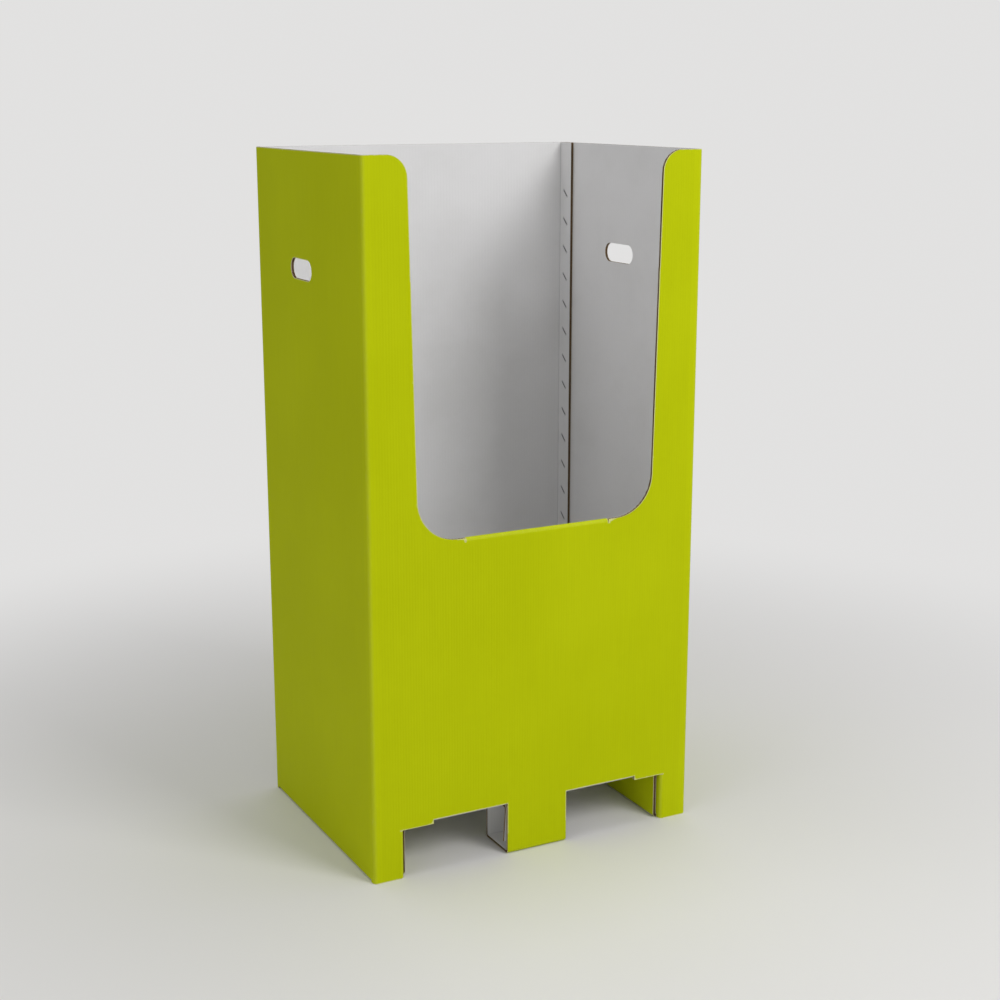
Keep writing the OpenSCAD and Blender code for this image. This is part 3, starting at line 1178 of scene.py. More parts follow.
@dataclass(frozen=True)
class Sleeve:
    """The printed sheet: four walls, window, rails, centre feet, foot flaps and stitched joint.

    The walls follow one path that starts at the raw back end of the right wall and goes round
    by the front, the left wall and the back to the end of the joint flap.

    Attributes:
        board: Layers of the sheet.
        half_w: Outer face of the side walls.
        half_d: Outer face of the front and back walls.
        height: Height of the rim.
        bulges: Outward bulge of each wall and of the joint flap.
        waves: Ripples across a wall, their shift from wall to wall and their radians for each metre up.
        edge_steps: Distances from a cut at which the grid has lines.
    """

    board: Board
    half_w: float
    half_d: float
    height: float
    sill_z: float = 0.745
    sill_half: float = 0.285
    rim_half: float = 0.301
    window_radius: float = 0.092
    sill_fold_half: float = 0.175
    sill_slit: float = 0.001
    sill_hang: float = 0.080
    upright_radius: float = 0.046
    foot_edge: float = 0.328
    lip_edge: float = 0.257
    lip_z: float = 0.112
    opening_z: float = 0.122
    centre_half: float = 0.075
    centre_depth: float = 0.105
    tuck_gap: float = 0.001
    tuck_stop: float = 0.016
    tuck_lean: float = math.radians(6.0)
    flap_length: float = 0.070
    flap_top: float = 0.111
    flap_tuck: float = 0.014
    flap_low: float = 0.008
    rail_half_run: float = 0.285
    rail_width: float = 0.080
    deck_z: float = 0.113
    hole_half: float = 0.061
    hole_radius: float = 0.022
    hole_z: float = 1.290
    hole_y: float = 0.030
    hole_start: float = math.radians(9.0)
    wall_end_y: float = 0.2927
    joint_face: float = 0.3927
    joint_end_y: float = 0.243
    joint_low: float = 0.150
    bulges: tuple[float, ...] = (0.0018, 0.0014, 0.0020, 0.0022, 0.0)
    ripple: float = 0.0004
    waves: Vector3 = (2.3, 0.37, 11.0)
    spacing: float = 0.030
    edge_steps: tuple[float, ...] = (0.0, 0.002, 0.006, 0.014)
    foot_rows: tuple[float, ...] = (0.05, 0.09)
    lip_rows: tuple[float, ...] = (0.003, 0.010)
    sill_columns: tuple[float, ...] = (0.03, 0.11, 0.15)
    sill_clear: float = 0.1
    side_drop: float = 0.2
    flap_row: float = 0.05
    flap_rim: float = 0.006
    hole_slack: float = 1e-4
    fold_steps: int = 8
    hole_arc_steps: int = 8
    low_arc_steps: int = 12
    top_arc_steps: int = 10
    climb_steps: int = 5

    @property
    def radius(self) -> float:
        """Outer radius of every fold."""
        return self.board.fold_radius

    @property
    def steps(self) -> Array:
        """Distances from a cut at which the grid has lines, as an array."""
        return np.asarray(self.edge_steps)

    @property
    def foot_fold(self) -> float:
        """Where a foot's flap begins to turn back."""
        return self.foot_edge + self.radius

    @property
    def sill_base(self) -> float:
        """Height at which the front wall begins to fold in at the sill."""
        return self.sill_z - self.radius

    @property
    def sill_notch(self) -> float:
        """Half-width of the sill's fold with the slits at its ends."""
        return self.sill_fold_half + self.sill_slit

    @property
    def lean(self) -> float:
        """Angle of the window's sides from upright."""
        return math.atan2(self.rim_half - self.sill_half, self.height - self.sill_z)

    def window_side(self, z: Array | float) -> Array | float:
        """Half-width of the window's straight sides at a height."""
        return self.sill_half + (z - self.sill_z) * math.tan(self.lean)

    @property
    def low_centre(self) -> Span:
        """Centre of the window's round lower corner."""
        z = self.sill_z + self.window_radius
        return float(self.window_side(z) - self.window_radius / math.cos(self.lean)), z

    @property
    def top_centre(self) -> Span:
        """Centre of the rounded top of an upright."""
        z = self.height - self.upright_radius
        return float(self.window_side(z) + self.upright_radius / math.cos(self.lean)), z

    def window_half(self, z: Array) -> Array:
        """Half-width of the window: an arc at the sill, a leaning line and an arc at the rim.

        Args:
            z: Heights above the sill.

        Returns:
            Half-widths, on an arc its centre's place and half a chord of its circle.
        """
        low_x, low_z = self.low_centre
        top_x, top_z = self.top_centre
        low, top = self.window_radius, self.upright_radius
        lean = math.sin(self.lean)
        return np.select(
            [z < low_z - low * lean, z > top_z + top * lean],
            [low_x + half_chord(low, z - low_z), top_x - half_chord(top, z - top_z)],
            self.window_side(z),
        )

    def front_top(self, x: Array) -> Array:
        """Height of the front wall's upper edge: sill, arc, leaning side, arc and rim.

        Args:
            x: Places along the wall, from its middle.

        Returns:
            Heights, on an arc its centre's height and half a chord of its circle.
        """
        a = np.abs(x)
        low_x, low_z = self.low_centre
        top_x, top_z = self.top_centre
        low, top = self.window_radius, self.upright_radius
        cosine = math.cos(self.lean)
        ends = (low_x, low_x + low * cosine, top_x - top * cosine, top_x)
        heights = [
            np.full_like(a, self.sill_z),
            low_z - half_chord(low, a - low_x),
            self.sill_z + (a - self.sill_half) / math.tan(self.lean),
            top_z + half_chord(top, top_x - a),
        ]
        return np.select([a <= end for end in ends], heights, self.height)

    def walls(self) -> FoldedPath:
        """Path of the walls' printed face in plan.

        Returns:
            Five runs joined by four folds.
        """
        turn = self.radius
        runs = (
            self.wall_end_y + self.half_d - turn,
            2 * (self.half_w - turn),
            2 * (self.half_d - turn),
            self.joint_face + self.half_w - 2 * turn,
            self.half_d - turn - self.joint_end_y,
        )
        return FoldedPath((self.half_w, self.wall_end_y), -QUARTER, runs, turn)

    def on_right(self, y: Array | float) -> Array:
        """Path distance of a place on the right wall."""
        return self.wall_end_y - np.asarray(y)

    def on_front(self, x: Array | float) -> Array:
        """Path distance of a place on the front wall."""
        return self.walls().run_start(1) + self.half_w - self.radius - np.asarray(x)

    def on_left(self, y: Array | float) -> Array:
        """Path distance of a place on the left wall."""
        return self.walls().run_start(2) + np.asarray(y) + self.half_d - self.radius

    def on_back(self, x: Array | float) -> Array:
        """Path distance of a place on the back wall."""
        return self.walls().run_start(3) + np.asarray(x) + self.half_w - self.radius

    def bow(self, s: Array, z: Array) -> Array:
        """Outward bulge of the walls: a squared sine across each wall, growing with height.

        Args:
            s: Path distances.
            z: Heights.

        Returns:
            Bulges, none at the folds and at the feet.
        """
        path = self.walls()
        starts, lengths = path.stretches()
        index = path.stretch_of(s)
        share = (s - starts[index]) / lengths[index]
        run = index // 2
        swell = np.where(index % 2 == 0, np.sin(math.pi * share) ** 2, 0.0)
        full = np.where(run == Wall.FRONT // 2, self.sill_z, self.hole_z)
        rise = smooth((z - self.joint_low) / (full - self.joint_low))
        count, shift, climb = self.waves
        waves = np.sin(2 * math.pi * (count * share + shift * run)) * np.sin(climb * z + run)
        return swell * rise * (np.asarray(self.bulges)[run] + self.ripple * waves)

    def hole_centres(self) -> Array:
        """Path distances of the middles of the hand holes."""
        return np.array([self.on_right(self.hole_y), self.on_left(self.hole_y)])

    def from_hole(self, s: Array) -> Array:
        """Path distance from the middle of the nearer hand hole."""
        return np.abs(np.asarray(s)[..., None] - self.hole_centres()).min(axis=-1)

    @property
    def hole_end(self) -> float:
        """Distance from a hand hole's middle to the last column of its round end."""
        return self.hole_half - self.hole_radius * (1 - math.cos(self.hole_start))

    def hole_rise(self, s: Array) -> Array:
        """Half-height of the hand holes: half a chord of a circle at each end, flat between.

        Args:
            s: Path distances.

        Returns:
            Half-heights, which stay the same past the last column of an end.
        """
        straight = self.hole_half - self.hole_radius
        past = np.clip(self.from_hole(s), straight, self.hole_end) - straight
        return half_chord(self.hole_radius, past)

    def hole_columns(self, centre: float) -> Array:
        """Columns that follow the round ends of a hand hole and the board beside it.

        Args:
            centre: Path distance of the hole's middle.

        Returns:
            Path distances in rising order.
        """
        angle = np.linspace(self.hole_start, QUARTER, self.hole_arc_steps + 1)
        half = self.hole_half - self.hole_radius * (1 - np.cos(angle))
        reach = ladder(half, self.hole_end + self.steps, [0.0])
        return centre + ladder(-reach, reach)

    def fill(self, start: float, stop: float) -> Array:
        """Evenly spaced numbers between two others, about a grid spacing apart."""
        return np.linspace(start, stop, max(2, math.ceil((stop - start) / self.spacing) + 1))

    def foot_marks(self) -> Array:
        """Places along the front and back walls where feet, lips and openings begin.

        Returns:
            Distances from the middle in rising order, with close ones beside each cut.
        """
        steps = self.steps
        marks = ladder(self.foot_fold + steps, self.lip_edge + steps, self.centre_half - steps)
        return ladder(-marks, marks)

    def sill_marks(self) -> Array:
        """Places along the sill at which the front wall and its folded flap have columns.

        Returns:
            Distances from the middle in rising order.
        """
        feet = self.foot_marks()
        ends = self.sill_fold_half - self.steps
        marks = ladder([0.0], self.sill_columns, ends, [self.sill_notch])
        return ladder(feet[np.abs(feet) < self.lip_edge - self.sill_clear], -marks, marks)

    def face_place(self, s: Array) -> tuple[Array, Array]:
        """Where places lie on the front and back walls.

        Args:
            s: Path distances.

        Returns:
            Which of them are on one of these walls, and how far from the middle they are.
        """
        index = self.walls().stretch_of(s)
        flat, _ = self.walls().at(s)
        return (index == Wall.FRONT) | (index == Wall.BACK), np.abs(flat[..., 0])

    def is_board(self, s: Array, z: Array) -> Array:
        """Which places on the walls are board, the window apart.

        Args:
            s: Path distances of the middles of cells.
            z: Heights of the middles of cells.

        Returns:
            True where the sheet goes on, False in openings and where rails and feet fold away.
        """
        path = self.walls()
        index = path.stretch_of(s)
        face, x = self.face_place(s)
        y = np.abs(path.at(s)[0][..., 1])
        side = (index == Wall.RIGHT) | (index == Wall.LEFT)
        bottom = np.where(side & (y < self.rail_half_run), self.radius, 0.0)
        opening = np.where(x > self.lip_edge, self.lip_z, self.opening_z)
        foot = np.where(x < self.centre_half, self.radius, opening)
        bottom = np.where(face & (x < self.foot_fold), foot, bottom)
        bottom = np.where(index > Wall.BACK, self.joint_low, bottom)
        hole = (self.from_hole(s) < self.hole_end) & (np.abs(z - self.hole_z) < self.hole_rise(s))
        folded = (index == Wall.FRONT) & (x < self.sill_notch) & (z > self.sill_base)
        return (z > bottom) & ~hole & ~folded

    def is_folded_on(self, s: Array, z: Array) -> Array:
        """Which border points of the walls aren't cut, because the sheet folds on there.

        Args:
            s: Path distances.
            z: Heights.

        Returns:
            True at the rails, the centre feet, the sill's flap and the corner feet's flaps.
        """
        face, x = self.face_place(s)
        sill = face & meets(z, self.sill_base) & (x < self.sill_notch)
        return meets(z, self.radius) | sill | (face & meets(x, self.foot_fold) & (z < self.lip_z))

    def wall_ribbon(self, s: Array, v: Array, shown: Array | bool = True) -> Ribbon:
        """Ribbon of the walls on a grid, with its openings left out.

        Args:
            s: Path distances, rows by columns.
            v: Heights, rows by columns.
            shown: Cells that are wanted.

        Returns:
            The ribbon, bulged as the walls are.
        """
        keep = self.is_board(middles(s), middles(v)) & shown
        plan = Placement(ORIGIN, ACROSS, DEEP, UP)
        return Ribbon(self.walls(), plan, s, v, keep, bow=self.bow(s, v), uncut=self.is_folded_on)

    def window_rows(self) -> Array:
        """Rows of the walls beside the window, closer at its arcs and at the hand holes.

        Returns:
            Heights in rising order, on an arc by equal steps of its angle.
        """
        low_angle = np.linspace(0.0, QUARTER - self.lean, self.low_arc_steps + 1)
        top_angle = np.linspace(self.lean, QUARTER, self.top_arc_steps + 1)
        below = self.low_centre[1] - self.window_radius * np.cos(low_angle)
        above = self.top_centre[1] + self.upright_radius * np.sin(top_angle)
        low, high = self.hole_z - self.hole_radius, self.hole_z + self.hole_radius
        return np.concatenate(
            [
                below,
                self.fill(below[-1], low - self.spacing)[1:],
                low - self.steps[:0:-1],
                [low, high],
                high + self.steps[1:],
                self.fill(high + self.spacing, above[0])[:-1],
                above,
            ]
        )

    def lower_rows(self) -> Array:
        """Rows of the walls from the floor to the sill.

        Returns:
            Heights in rising order.
        """
        return np.concatenate(
            [
                [0.0, self.radius, *self.foot_rows, self.lip_z],
                self.opening_z + np.array([0.0, *self.lip_rows]),
                self.fill(self.joint_low, self.sill_z - self.spacing),
                ladder(self.sill_z - self.steps, [self.sill_base]),
            ]
        )

    def upright_places(self, z: Array) -> Array:
        """Distances from the middle of an upright's columns, from the window's edge to the fold.

        Args:
            z: Heights of the rows.

        Returns:
            Close steps beside the edge, then shares of the rest, as rows by columns.
        """
        steps = self.steps
        fold_x = self.half_w - self.radius
        near = self.low_centre[0] + steps[-1]
        feet = self.foot_marks()
        shares = (ladder(feet[feet > near], self.fill(near, fold_x)) - near) / (fold_x - near)
        edge = self.window_half(z)[:, None]
        start = edge + steps[-1]
        return np.concatenate([edge + steps[:-1], start + shares * (fold_x - start)], axis=1)

    def wall_ribbons(self) -> list[Ribbon]:
        """The walls below the sill and on either side of the window, with shared edges.

        Returns:
            The lower part, then the parts to the right and to the left of the window.
        """
        path = self.walls()
        steps, end = self.steps, path.length
        folds = path.fold_columns(self.fold_steps)
        holes = [self.hole_columns(centre) for centre in self.hole_centres()]
        starts = [path.run_start(run) for run in range(len(path.runs))]
        right = ladder(
            steps,
            self.on_right(BOTH_WAYS * self.rail_half_run),
            holes[0],
            self.fill(self.spacing, starts[1] - QUARTER * self.radius),
            folds[: self.fold_steps + 1],
        )
        left = ladder(
            folds[self.fold_steps + 1 :],
            self.on_left(BOTH_WAYS * self.rail_half_run),
            holes[1],
            self.fill(starts[2], starts[3]),
            self.on_back(self.foot_marks()),
            self.fill(starts[3], starts[4]),
            end - steps,
            [end - self.spacing],
        )
        rows = self.window_rows()
        x = self.upright_places(rows)
        size = (len(rows), 1)
        right_s = np.concatenate([np.tile(right, size), self.on_front(x)[:, -2::-1]], axis=1)
        left_s = np.concatenate([self.on_front(-x)[:, :-1], np.tile(left, size)], axis=1)
        ribbons = []
        for s in (right_s, left_s):
            v = np.repeat(rows[:, None], s.shape[1], axis=1)
            shift = self.hole_rise(s) - self.hole_radius
            beside = np.abs(v - self.hole_z) < self.hole_radius + steps[-1] + self.hole_slack
            v = np.where(beside, v + np.sign(v - self.hole_z) * shift, v)
            ribbons.append(self.wall_ribbon(s, v))
            ribbons[-1].joined_low = np.ones(s.shape[1] - 1, bool)
        middle = self.on_front(self.sill_marks())[::-1]
        columns = np.concatenate([right_s[0], middle, left_s[0]])
        lower = self.wall_ribbon(*grid(columns, self.lower_rows()))
        cell = np.arange(len(columns) - 1)
        first = right_s.shape[1] - 1
        lower.joined_high = (cell < first) | (cell > first + len(middle))
        return [lower, *ribbons]

    def wall_flutes(self) -> Ribbon:
        """Grid for the walls' fluted papers, kept only where a cut lets them show.

        Returns:
            The ribbon, with columns close enough for the waves.
        """
        board, path = self.board, self.walls()
        columns = ladder(
            np.arange(0.0, path.length, board.wave_step),
            [path.length],
            path.fold_columns(1),
            self.on_front(self.foot_marks()),
            self.on_back(self.foot_marks()),
            self.on_front(BOTH_WAYS * self.sill_notch),
            *(self.hole_columns(centre) for centre in self.hole_centres()),
        )
        front = path.stretch_of(columns) == Wall.FRONT
        top = np.where(front, self.front_top(path.at(columns)[0][:, 0]), self.height)
        show = board.show_depth
        base = self.joint_low + show
        centre = base + (top - base) * (self.hole_z - base) / (self.height - base)
        rise = self.hole_rise(columns)
        fixed = [0.0, self.radius, self.lip_z, self.opening_z, self.joint_low, base]
        shares = np.arange(1, self.climb_steps + 1) / self.climb_steps
        climb = [base + (centre - rise - show - base) * share for share in shares]
        upper = [centre - rise, centre + rise, centre + rise + show, top - show, top]
        v = np.stack([np.full_like(columns, z) for z in fixed] + climb + upper)
        s = np.tile(columns, (len(v), 1))
        mid_s, mid_v = middles(s), middles(v)
        face, x = self.face_place(mid_s)
        front = path.stretch_of(mid_s) == Wall.FRONT
        rim = middles(np.tile(top, (len(v), 1))) - mid_v < show
        rim = rim & ~(front & (x < self.sill_notch))
        sides = front & (x > self.low_centre[0]) & (x < self.rim_half + 2 * show)
        sides = sides & (mid_v > self.sill_z - self.side_drop)
        ends = (mid_s < show) | (mid_s > path.length - show)
        above_fork = (mid_v > self.lip_z) & (mid_v < self.joint_low)
        opening = face & (x < self.foot_fold + show) & above_fork
        beside = (np.abs(x - self.foot_fold) < show) | (np.abs(x - self.centre_half) < show)
        feet = face & beside & (mid_v < self.joint_low)
        hole = self.from_hole(mid_s) < self.hole_half + show
        hole = hole & (np.abs(mid_v - self.hole_z) < 2 * show)
        return self.wall_ribbon(s, v, rim | sides | ends | opening | feet | hole)

    def rail_path(self) -> FoldedPath:
        """Path of a side rail, from the upper edge of its inner wall to the side wall.

        Returns:
            The path, measured in from the side wall's outer face.
        """
        turn = self.radius
        runs = (self.deck_z - turn, self.rail_width - 2 * turn, 0.0)
        return FoldedPath((self.rail_width, self.deck_z), -QUARTER, runs, turn)

    def centre_path(self) -> FoldedPath:
        """Path of a centre foot, from the end of its tuck flap round to the front wall.

        Returns:
            The path, measured in from the front wall's outer face.
        """
        turn = self.radius
        face = self.board.thickness + self.tuck_gap
        hang = self.deck_z - turn - self.board.thickness - self.tuck_stop
        runs = (
            hang,
            self.centre_depth - face - 2 * turn,
            self.deck_z - 2 * turn,
            self.centre_depth - 2 * turn,
            0.0,
        )
        return FoldedPath((face, self.deck_z - turn - hang), QUARTER, runs, turn)

    def rolls(self) -> list[tuple[FoldedPath, Placement, float]]:
        """Where the two rails and the two centre feet lie.

        Returns:
            Path, placement and half-length of each.
        """
        rail, foot = self.rail_path(), self.centre_path()
        rails = [Placement((way * self.half_w, 0, 0), (-way, 0, 0), UP, DEEP) for way in (-1, 1)]
        feet = [Placement((0, way * self.half_d, 0), (0, -way, 0), UP, ACROSS) for way in (-1, 1)]
        return [(rail, place, self.rail_half_run) for place in rails] + [
            (foot, place, self.centre_half) for place in feet
        ]

    def roll_ribbon(self, path: FoldedPath, place: Placement, rows: Array) -> Ribbon:
        """Ribbon of a rail or a centre foot, whose flutes go round its folds.

        A centre foot's tuck flap is left unprinted and leans in, by the tangent of its lean times
        the distance from its fold.

        Args:
            path: Path of the roll.
            place: Where the roll lies.
            rows: Sweep distances of the grid.

        Returns:
            The ribbon, joined to a wall at the path's end.
        """
        starts, lengths = path.stretches()
        flat = [self.fill(a, a + length) for a, length in zip(starts[:-1:2], lengths[:-1:2])]
        s, v = grid(ladder(self.steps, path.fold_columns(self.fold_steps), *flat), rows)
        end = path.length - SLACK
        ribbon = Ribbon(path, place, s, v, run=FluteRun.WRAPPED, uncut=lambda s, v: s > end)
        if path == self.centre_path():
            ribbon.bow = -np.clip(path.runs[0] - s, 0.0, None) * math.tan(self.tuck_lean)
            ribbon.bare = middles(s) < path.run_start(1)
        return ribbon

    def roll_ribbons(self) -> list[Ribbon]:
        """The rails and the centre feet.

        Returns:
            One ribbon for each.
        """
        steps = self.steps
        return [
            self.roll_ribbon(path, place, ladder(steps - half, self.fill(-half, half), half - steps))
            for path, place, half in self.rolls()
        ]

    def roll_flutes(self) -> list[Ribbon]:
        """Grids for the fluted papers at both ends of each rail and centre foot.

        Returns:
            Two ribbons for each.
        """
        reach = np.arange(0.0, self.board.show_depth, self.board.wave_step)
        return [
            self.roll_ribbon(path, place, rows)
            for path, place, half in self.rolls()
            for rows in (reach - half, half - reach[::-1])
        ]

    def sill_ribbon(self, rows: Array) -> Ribbon:
        """Ribbon of the flap that folds in over the sill and hangs behind the front wall.

        Its path goes up the front wall, round two quarter folds and down inside. It moves out
        with the wall, so its bow is the wall's times the share of its normal that faces front.

        Args:
            rows: Distances along the walls' path, which is the sweep here.

        Returns:
            The ribbon, joined to the front wall at its first column.
        """
        path = FoldedPath((0.0, 0.0), QUARTER, (self.sill_base, 0.0, self.sill_hang), self.radius)
        place = Placement((float(self.on_front(0.0)), -self.half_d, 0), DEEP, UP, (-1, 0, 0))
        hang = self.fill(path.run_start(2), path.length)
        columns = ladder(path.fold_columns(self.fold_steps), hang, path.length - self.steps)
        s, v = grid(columns, rows)
        bow = -path.at(s)[1][..., 0] * self.bow(v, np.full_like(v, self.sill_base))
        start = self.sill_base + SLACK
        return Ribbon(
            path, place, s, v, run=FluteRun.WRAPPED, bow=bow, uncut=lambda s, v: s < start
        )

    def sill_flap(self) -> Ribbon:
        """The whole flap at the sill.

        Returns:
            Its ribbon.
        """
        marks = self.sill_marks()
        folded = marks[np.abs(marks) < self.sill_notch - self.sill_slit / 2]
        return self.sill_ribbon(self.on_front(folded)[::-1])

    def sill_flutes(self) -> list[Ribbon]:
        """Grids for the fluted papers at both ends of the flap at the sill.

        Returns:
            One ribbon for each end.
        """
        reach = np.arange(0.0, self.board.show_depth / 2, self.board.wave_step)
        low, high = self.on_front(self.sill_fold_half), self.on_front(-self.sill_fold_half)
        return [self.sill_ribbon(rows) for rows in (low + reach, high - reach[::-1])]

    def flap_ribbons(self, columns: Array) -> list[Ribbon]:
        """The flap that folds back from each corner foot.

        Args:
            columns: Path distances of the grid.

        Returns:
            One ribbon for each foot.
        """
        start = (self.foot_fold, -self.half_d)
        path = FoldedPath(start, math.pi, (0.0, self.flap_length - self.radius), self.radius)
        tuck = path.length - self.flap_length + self.flap_tuck
        rows = [0.0, self.flap_low, self.flap_row, self.flap_top - self.flap_rim, self.flap_top]
        s, v = grid(ladder(columns[columns < path.length], [tuck, path.length]), rows)
        keep = (middles(s) < tuck) | (middles(v) > self.flap_low)
        places = [
            Placement(ORIGIN, (across, 0, 0), (0, deep, 0), UP)
            for across in (-1, 1)
            for deep in (-1, 1)
        ]
        return [Ribbon(path, place, s, v, keep, uncut=lambda s, v: s < SLACK) for place in places]

    def build(self, papers: Papers) -> list[bpy.types.Object]:
        """Build the sheet's papers.

        Args:
            papers: Materials of the board.

        Returns:
            The printed liner, the white liner, the middle liner and the fluting.
        """
        turn = QUARTER * self.radius
        end = self.flap_length + turn
        sparse = ladder(np.linspace(0.0, turn, self.fold_steps + 1), self.fill(turn, end))
        dense = np.arange(0.0, end, self.board.wave_step)
        outer, inner, middle, fluting = (MeshStock() for _ in range(4))
        ribbons = self.wall_ribbons() + self.roll_ribbons() + self.flap_ribbons(sparse)
        add_liners([*ribbons, self.sill_flap()], self.board, outer, inner, middle)
        fluted = [self.wall_flutes(), *self.roll_flutes(), *self.flap_ribbons(dense)]
        add_flutes(fluted + self.sill_flutes(), self.board, fluting)
        return [
            outer.build("sleeve_print", papers.ink, papers.edge, papers.white),
            inner.build("sleeve_lining", papers.white, papers.edge),
            middle.build("sleeve_middle", papers.core),
            fluting.build("sleeve_fluting", papers.core),
        ]


@dataclass(frozen=True)
class DeckTray:
    """The white board floor of the bin, with a flange folded up at each side.

    Attributes:
        board: Layers of the board.
        half_w: Outer face of the side flanges.
        half_d: Outer face of the end flanges.
        floor_z: Underside of the floor.
        top_z: Upper edge of the flanges.
    """

    board: Board
    half_w: float
    half_d: float
    floor_z: float
    top_z: float
    flange_gap: float = 0.004
    fold_steps: int = 8
    wide_lines: int = 12
    deep_lines: int = 10
    edge_steps: tuple[float, ...] = (0.0, 0.003, 0.010)

    # Place of the floor among the runs and folds of the side path.
    FLOOR = 2

    @property
    def turn(self) -> float:
        """Outer radius of every fold."""
        return self.board.fold_radius

    @property
    def flange(self) -> float:
        """Length of a flange above its fold."""
        return self.top_z - self.floor_z - self.turn

    @property
    def side_half(self) -> float:
        """Half-length of a side flange."""
        return self.half_d - self.turn - self.flange_gap

    @property
    def end_half(self) -> float:
        """Half-length of an end flange."""
        return self.half_w - self.turn - self.flange_gap

    def side_path(self) -> FoldedPath:
        """Path of the underside from one side flange to the other."""
        runs = (self.flange, 2 * (self.half_w - self.turn), self.flange)
        return FoldedPath((self.half_w, self.top_z), -QUARTER, runs, self.turn)

    def end_path(self) -> FoldedPath:
        """Path of an end flange down to the floor."""
        return FoldedPath((self.half_d, self.top_z), -QUARTER, (self.flange, 0.0), self.turn)

    def side_place(self) -> Placement:
        """Placement of the floor and its side flanges."""
        return Placement(ORIGIN, ACROSS, UP, DEEP)

    def end_places(self) -> list[Placement]:
        """Placements of the two end flanges."""
        return [Placement(ORIGIN, (0, way, 0), UP, ACROSS) for way in (-1, 1)]

    def ribbons(self) -> list[Ribbon]:
        """Floor with its side flanges, and the two end flanges.

        Returns:
            Three ribbons, in that order.
        """
        path, end = self.side_path(), self.end_path()
        steps = np.asarray(self.edge_steps)
        run, wide = self.side_half, self.end_half
        rim = self.half_d - self.turn
        floor = path.run_start(1) + np.linspace(0.0, path.runs[1], self.wide_lines)
        columns = ladder(steps, path.fold_columns(self.fold_steps), floor, path.length - steps)
        between = np.linspace(-run, run, self.deep_lines)
        s, v = grid(columns, ladder([-rim, rim], steps - run, run - steps, between))
        keep = (path.stretch_of(middles(s)) == self.FLOOR) | (np.abs(middles(v)) < run)

        def folded_on(s: Array, v: Array) -> Array:
            """Which border points lie where the floor folds on into an end flange."""
            return (path.stretch_of(s) == self.FLOOR) & meets(np.abs(v), rim)

        made = [Ribbon(path, self.side_place(), s, v, keep, FluteRun.WRAPPED, uncut=folded_on)]
        between = np.linspace(-wide, wide, self.wide_lines)
        rows = ladder(steps - wide, between, wide - steps)
        s, v = grid(ladder(steps, end.fold_columns(self.fold_steps)), rows)
        last = end.length - SLACK
        return made + [
            Ribbon(end, place, s, v, uncut=lambda s, v: s > last) for place in self.end_places()
        ]

    def flutes(self) -> list[Ribbon]:
        """Grids for the fluted papers along the flanges' upper edges.

        Returns:
            One ribbon for each flange.
        """
        board, path = self.board, self.side_path()
        rows = np.arange(-self.side_half, self.side_half, board.wave_step)
        show = np.array([0.0, board.show_depth])
        made = [
            Ribbon(path, self.side_place(), *grid(columns, rows), run=FluteRun.WRAPPED)
            for columns in (show, path.length - show[::-1])
        ]
        columns = np.arange(0.0, board.show_depth, board.wave_step)
        s, v = grid(columns, BOTH_WAYS * self.end_half)
        return made + [Ribbon(self.end_path(), place, s, v) for place in self.end_places()]

    def build(self, papers: Papers) -> list[bpy.types.Object]:
        """Build the tray's papers.

        Args:
            papers: Materials of the board.

        Returns:
            The two liners in one piece, and the core.
        """
        liners, core = MeshStock(), MeshStock()
        add_liners(self.ribbons(), self.board, liners, liners, core)
        add_flutes(self.flutes(), self.board, core)
        return [
            liners.build("deck_liners", papers.white, papers.edge),
            core.build("deck_core", papers.core),
        ]


@dataclass(frozen=True)
class Lamp:
    """Square area light, with its place, the length of its side and its power in watts."""

    name: str
    place: Vector3
    size: float
    power: float

    def hang(self, aim: Vector3) -> None:
        """Put the light into the scene.

        Args:
            aim: Point that it faces.
        """
        data = bpy.data.lights.new(self.name, "AREA")
        data.size = self.size
        data.energy = self.power
        item = placed(self.name, data)
        item.location = self.place
        facing = Vector(aim) - Vector(self.place)
        item.rotation_euler = facing.to_track_quat("-Z", "Y").to_euler()


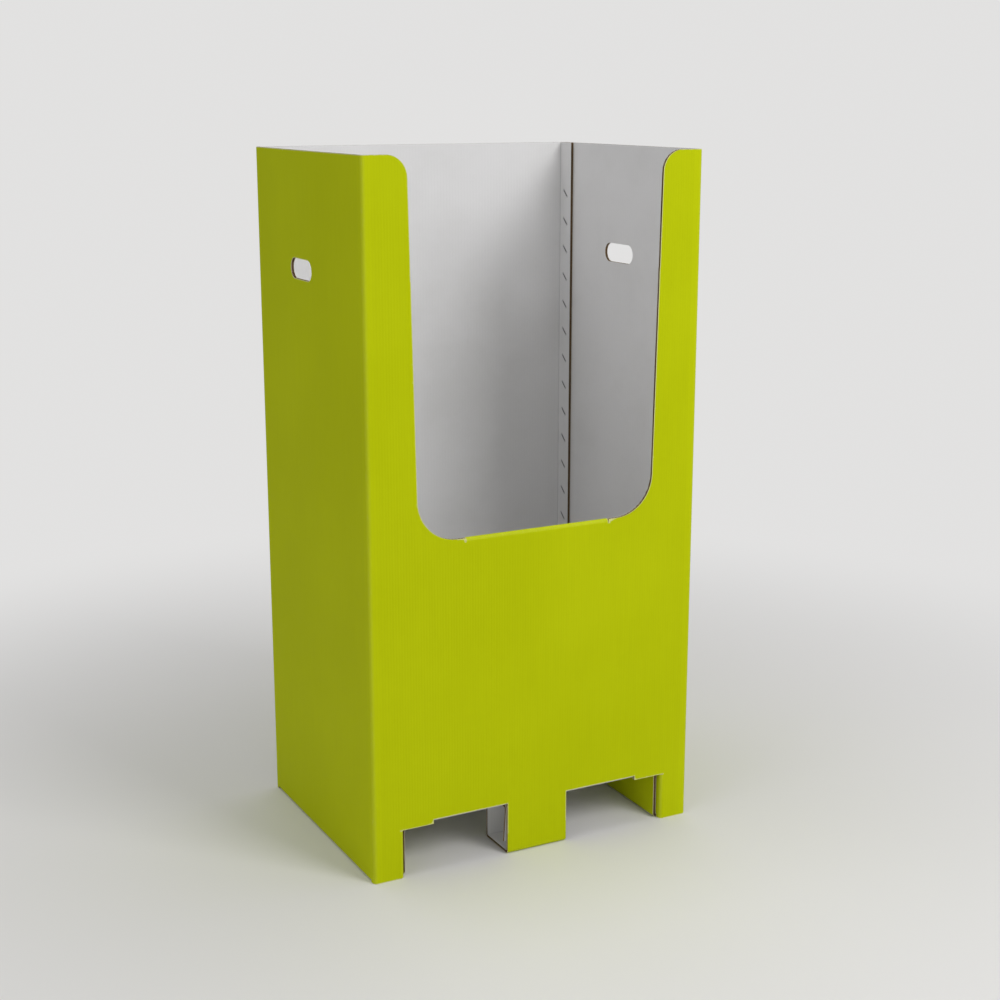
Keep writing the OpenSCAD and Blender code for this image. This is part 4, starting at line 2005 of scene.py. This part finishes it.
@dataclass(frozen=True)
class Studio:
    """Camera, lights, pale floor and pale surroundings, with yaw and pitch in degrees."""

    eye: Vector3 = (-1.6956, -3.3481, 1.6553)
    yaw: float = 27.714
    pitch: float = 13.659
    lens: float = 60.18
    sensor: float = 36.0
    aim: Vector3 = (0.0, 0.0, 0.8)
    lamps: tuple[Lamp, ...] = (
        Lamp("key", (1.5, -3.6, 3.2), 1.8, 90.0),
        Lamp("fill", (-3.6, -1.4, 2.2), 2.2, 12.0),
        Lamp("top", (0.0, 0.3, 4.6), 3.2, 50.0),
    )
    backdrop: Colour = (0.76, 0.755, 0.75)
    ambient: Colour = (0.385, 0.385, 0.39)
    floor_card: Colour = (0.80, 0.79, 0.78)
    floor_roughness: float = 0.7
    floor_half: float = 60.0
    floor_z: float = -0.0004
    floor_fade: Span = (0.7, 2.7)

    def camera(self) -> None:
        """Camera at the photograph's place, turned by yaw and pitch."""
        data = bpy.data.cameras.new("camera")
        data.lens = self.lens
        data.sensor_width = self.sensor
        item = placed("camera", data)
        item.location = self.eye
        item.rotation_euler = (QUARTER - math.radians(self.pitch), 0.0, -math.radians(self.yaw))
        bpy.context.scene.camera = item

    def floor(self) -> bpy.types.Object:
        """Floor that catches shadows, fades into the backdrop and is clear from below.

        Returns:
            The floor.
        """
        half, z = self.floor_half, self.floor_z
        mesh = bpy.data.meshes.new("floor")
        corners = [(-half, -half, z), (half, -half, z), (half, half, z), (-half, half, z)]
        mesh.from_pydata(corners, [], [(0, 1, 2, 3)])
        shader = Shader(bpy.data.materials.new("floor_card"))
        x, y, _ = shader.parts(shader.place())
        away = (x * x + y * y).root()
        kind = "ShaderNodeBsdfPrincipled"
        card = shader.coloured(kind, "Base Color", self.floor_card, Roughness=self.floor_roughness)
        glow = shader.coloured("ShaderNodeEmission", "Color", self.backdrop)
        top = shader.mixed(away.step(*self.floor_fade) * shader.camera_ray(), card, glow)
        clear = shader.node("ShaderNodeBsdfTransparent")
        below = shader.node("ShaderNodeNewGeometry", None, None, "Backfacing")
        shader.close(shader.mixed(below, top, clear))
        mesh.materials.append(shader.owner)
        return placed("floor", mesh)

    def surroundings(self) -> None:
        """World that lights softly and is seen as the backdrop."""
        world = bpy.data.worlds.new("surroundings")
        shader = Shader(world)
        soft = shader.coloured("ShaderNodeBackground", "Color", self.ambient)
        seen = shader.coloured("ShaderNodeBackground", "Color", self.backdrop)
        shader.close(shader.mixed(shader.camera_ray(), soft, seen))
        bpy.context.scene.world = world

    def set_up(self) -> None:
        """Put everything of the studio into the scene."""
        self.camera()
        for lamp in self.lamps:
            lamp.hang(self.aim)
        self.surroundings()
        self.floor()
        bpy.context.scene.view_settings.view_transform = "Standard"


def claim(pieces: Sequence[bpy.types.Object], node: str) -> None:
    """Let pieces stand for a node of the frame.

    Args:
        pieces: Objects that take the node's place.
        node: Node of the frame.
    """
    for piece in pieces:
        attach(piece, BODY)
        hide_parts(node)
        LOG.info("%s: %d faces for %s", piece.name, len(piece.data.polygons), node)


def main() -> None:
    """Load the frame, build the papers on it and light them."""
    logging.basicConfig(level=logging.INFO, format="%(name)s: %(message)s")
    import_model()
    _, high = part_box("display_sleeve")
    tray_low, tray_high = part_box("deck_tray")
    board = Board()
    stitches = StitchRow(high.x, high.z)
    papers = Papers(
        ink=PrintedInk().material(board, stitches),
        white=WhiteLining().material(board, stitches),
        edge=LINER_EDGE.material(),
        core=KRAFT_CORE_AND_SHADE.material(),
    )
    sleeve = Sleeve(board, half_w=high.x, half_d=high.y, height=high.z)
    claim(sleeve.build(papers), "display_sleeve")
    tray = DeckTray(board, tray_high.x, tray_high.y, tray_low.z, tray_high.z)
    claim(tray.build(papers), "deck_tray")
    claim([stitches.build(FlatWire().material())], "wire_stitches")
    Studio().set_up()


if __name__ == "__main__":
    main()
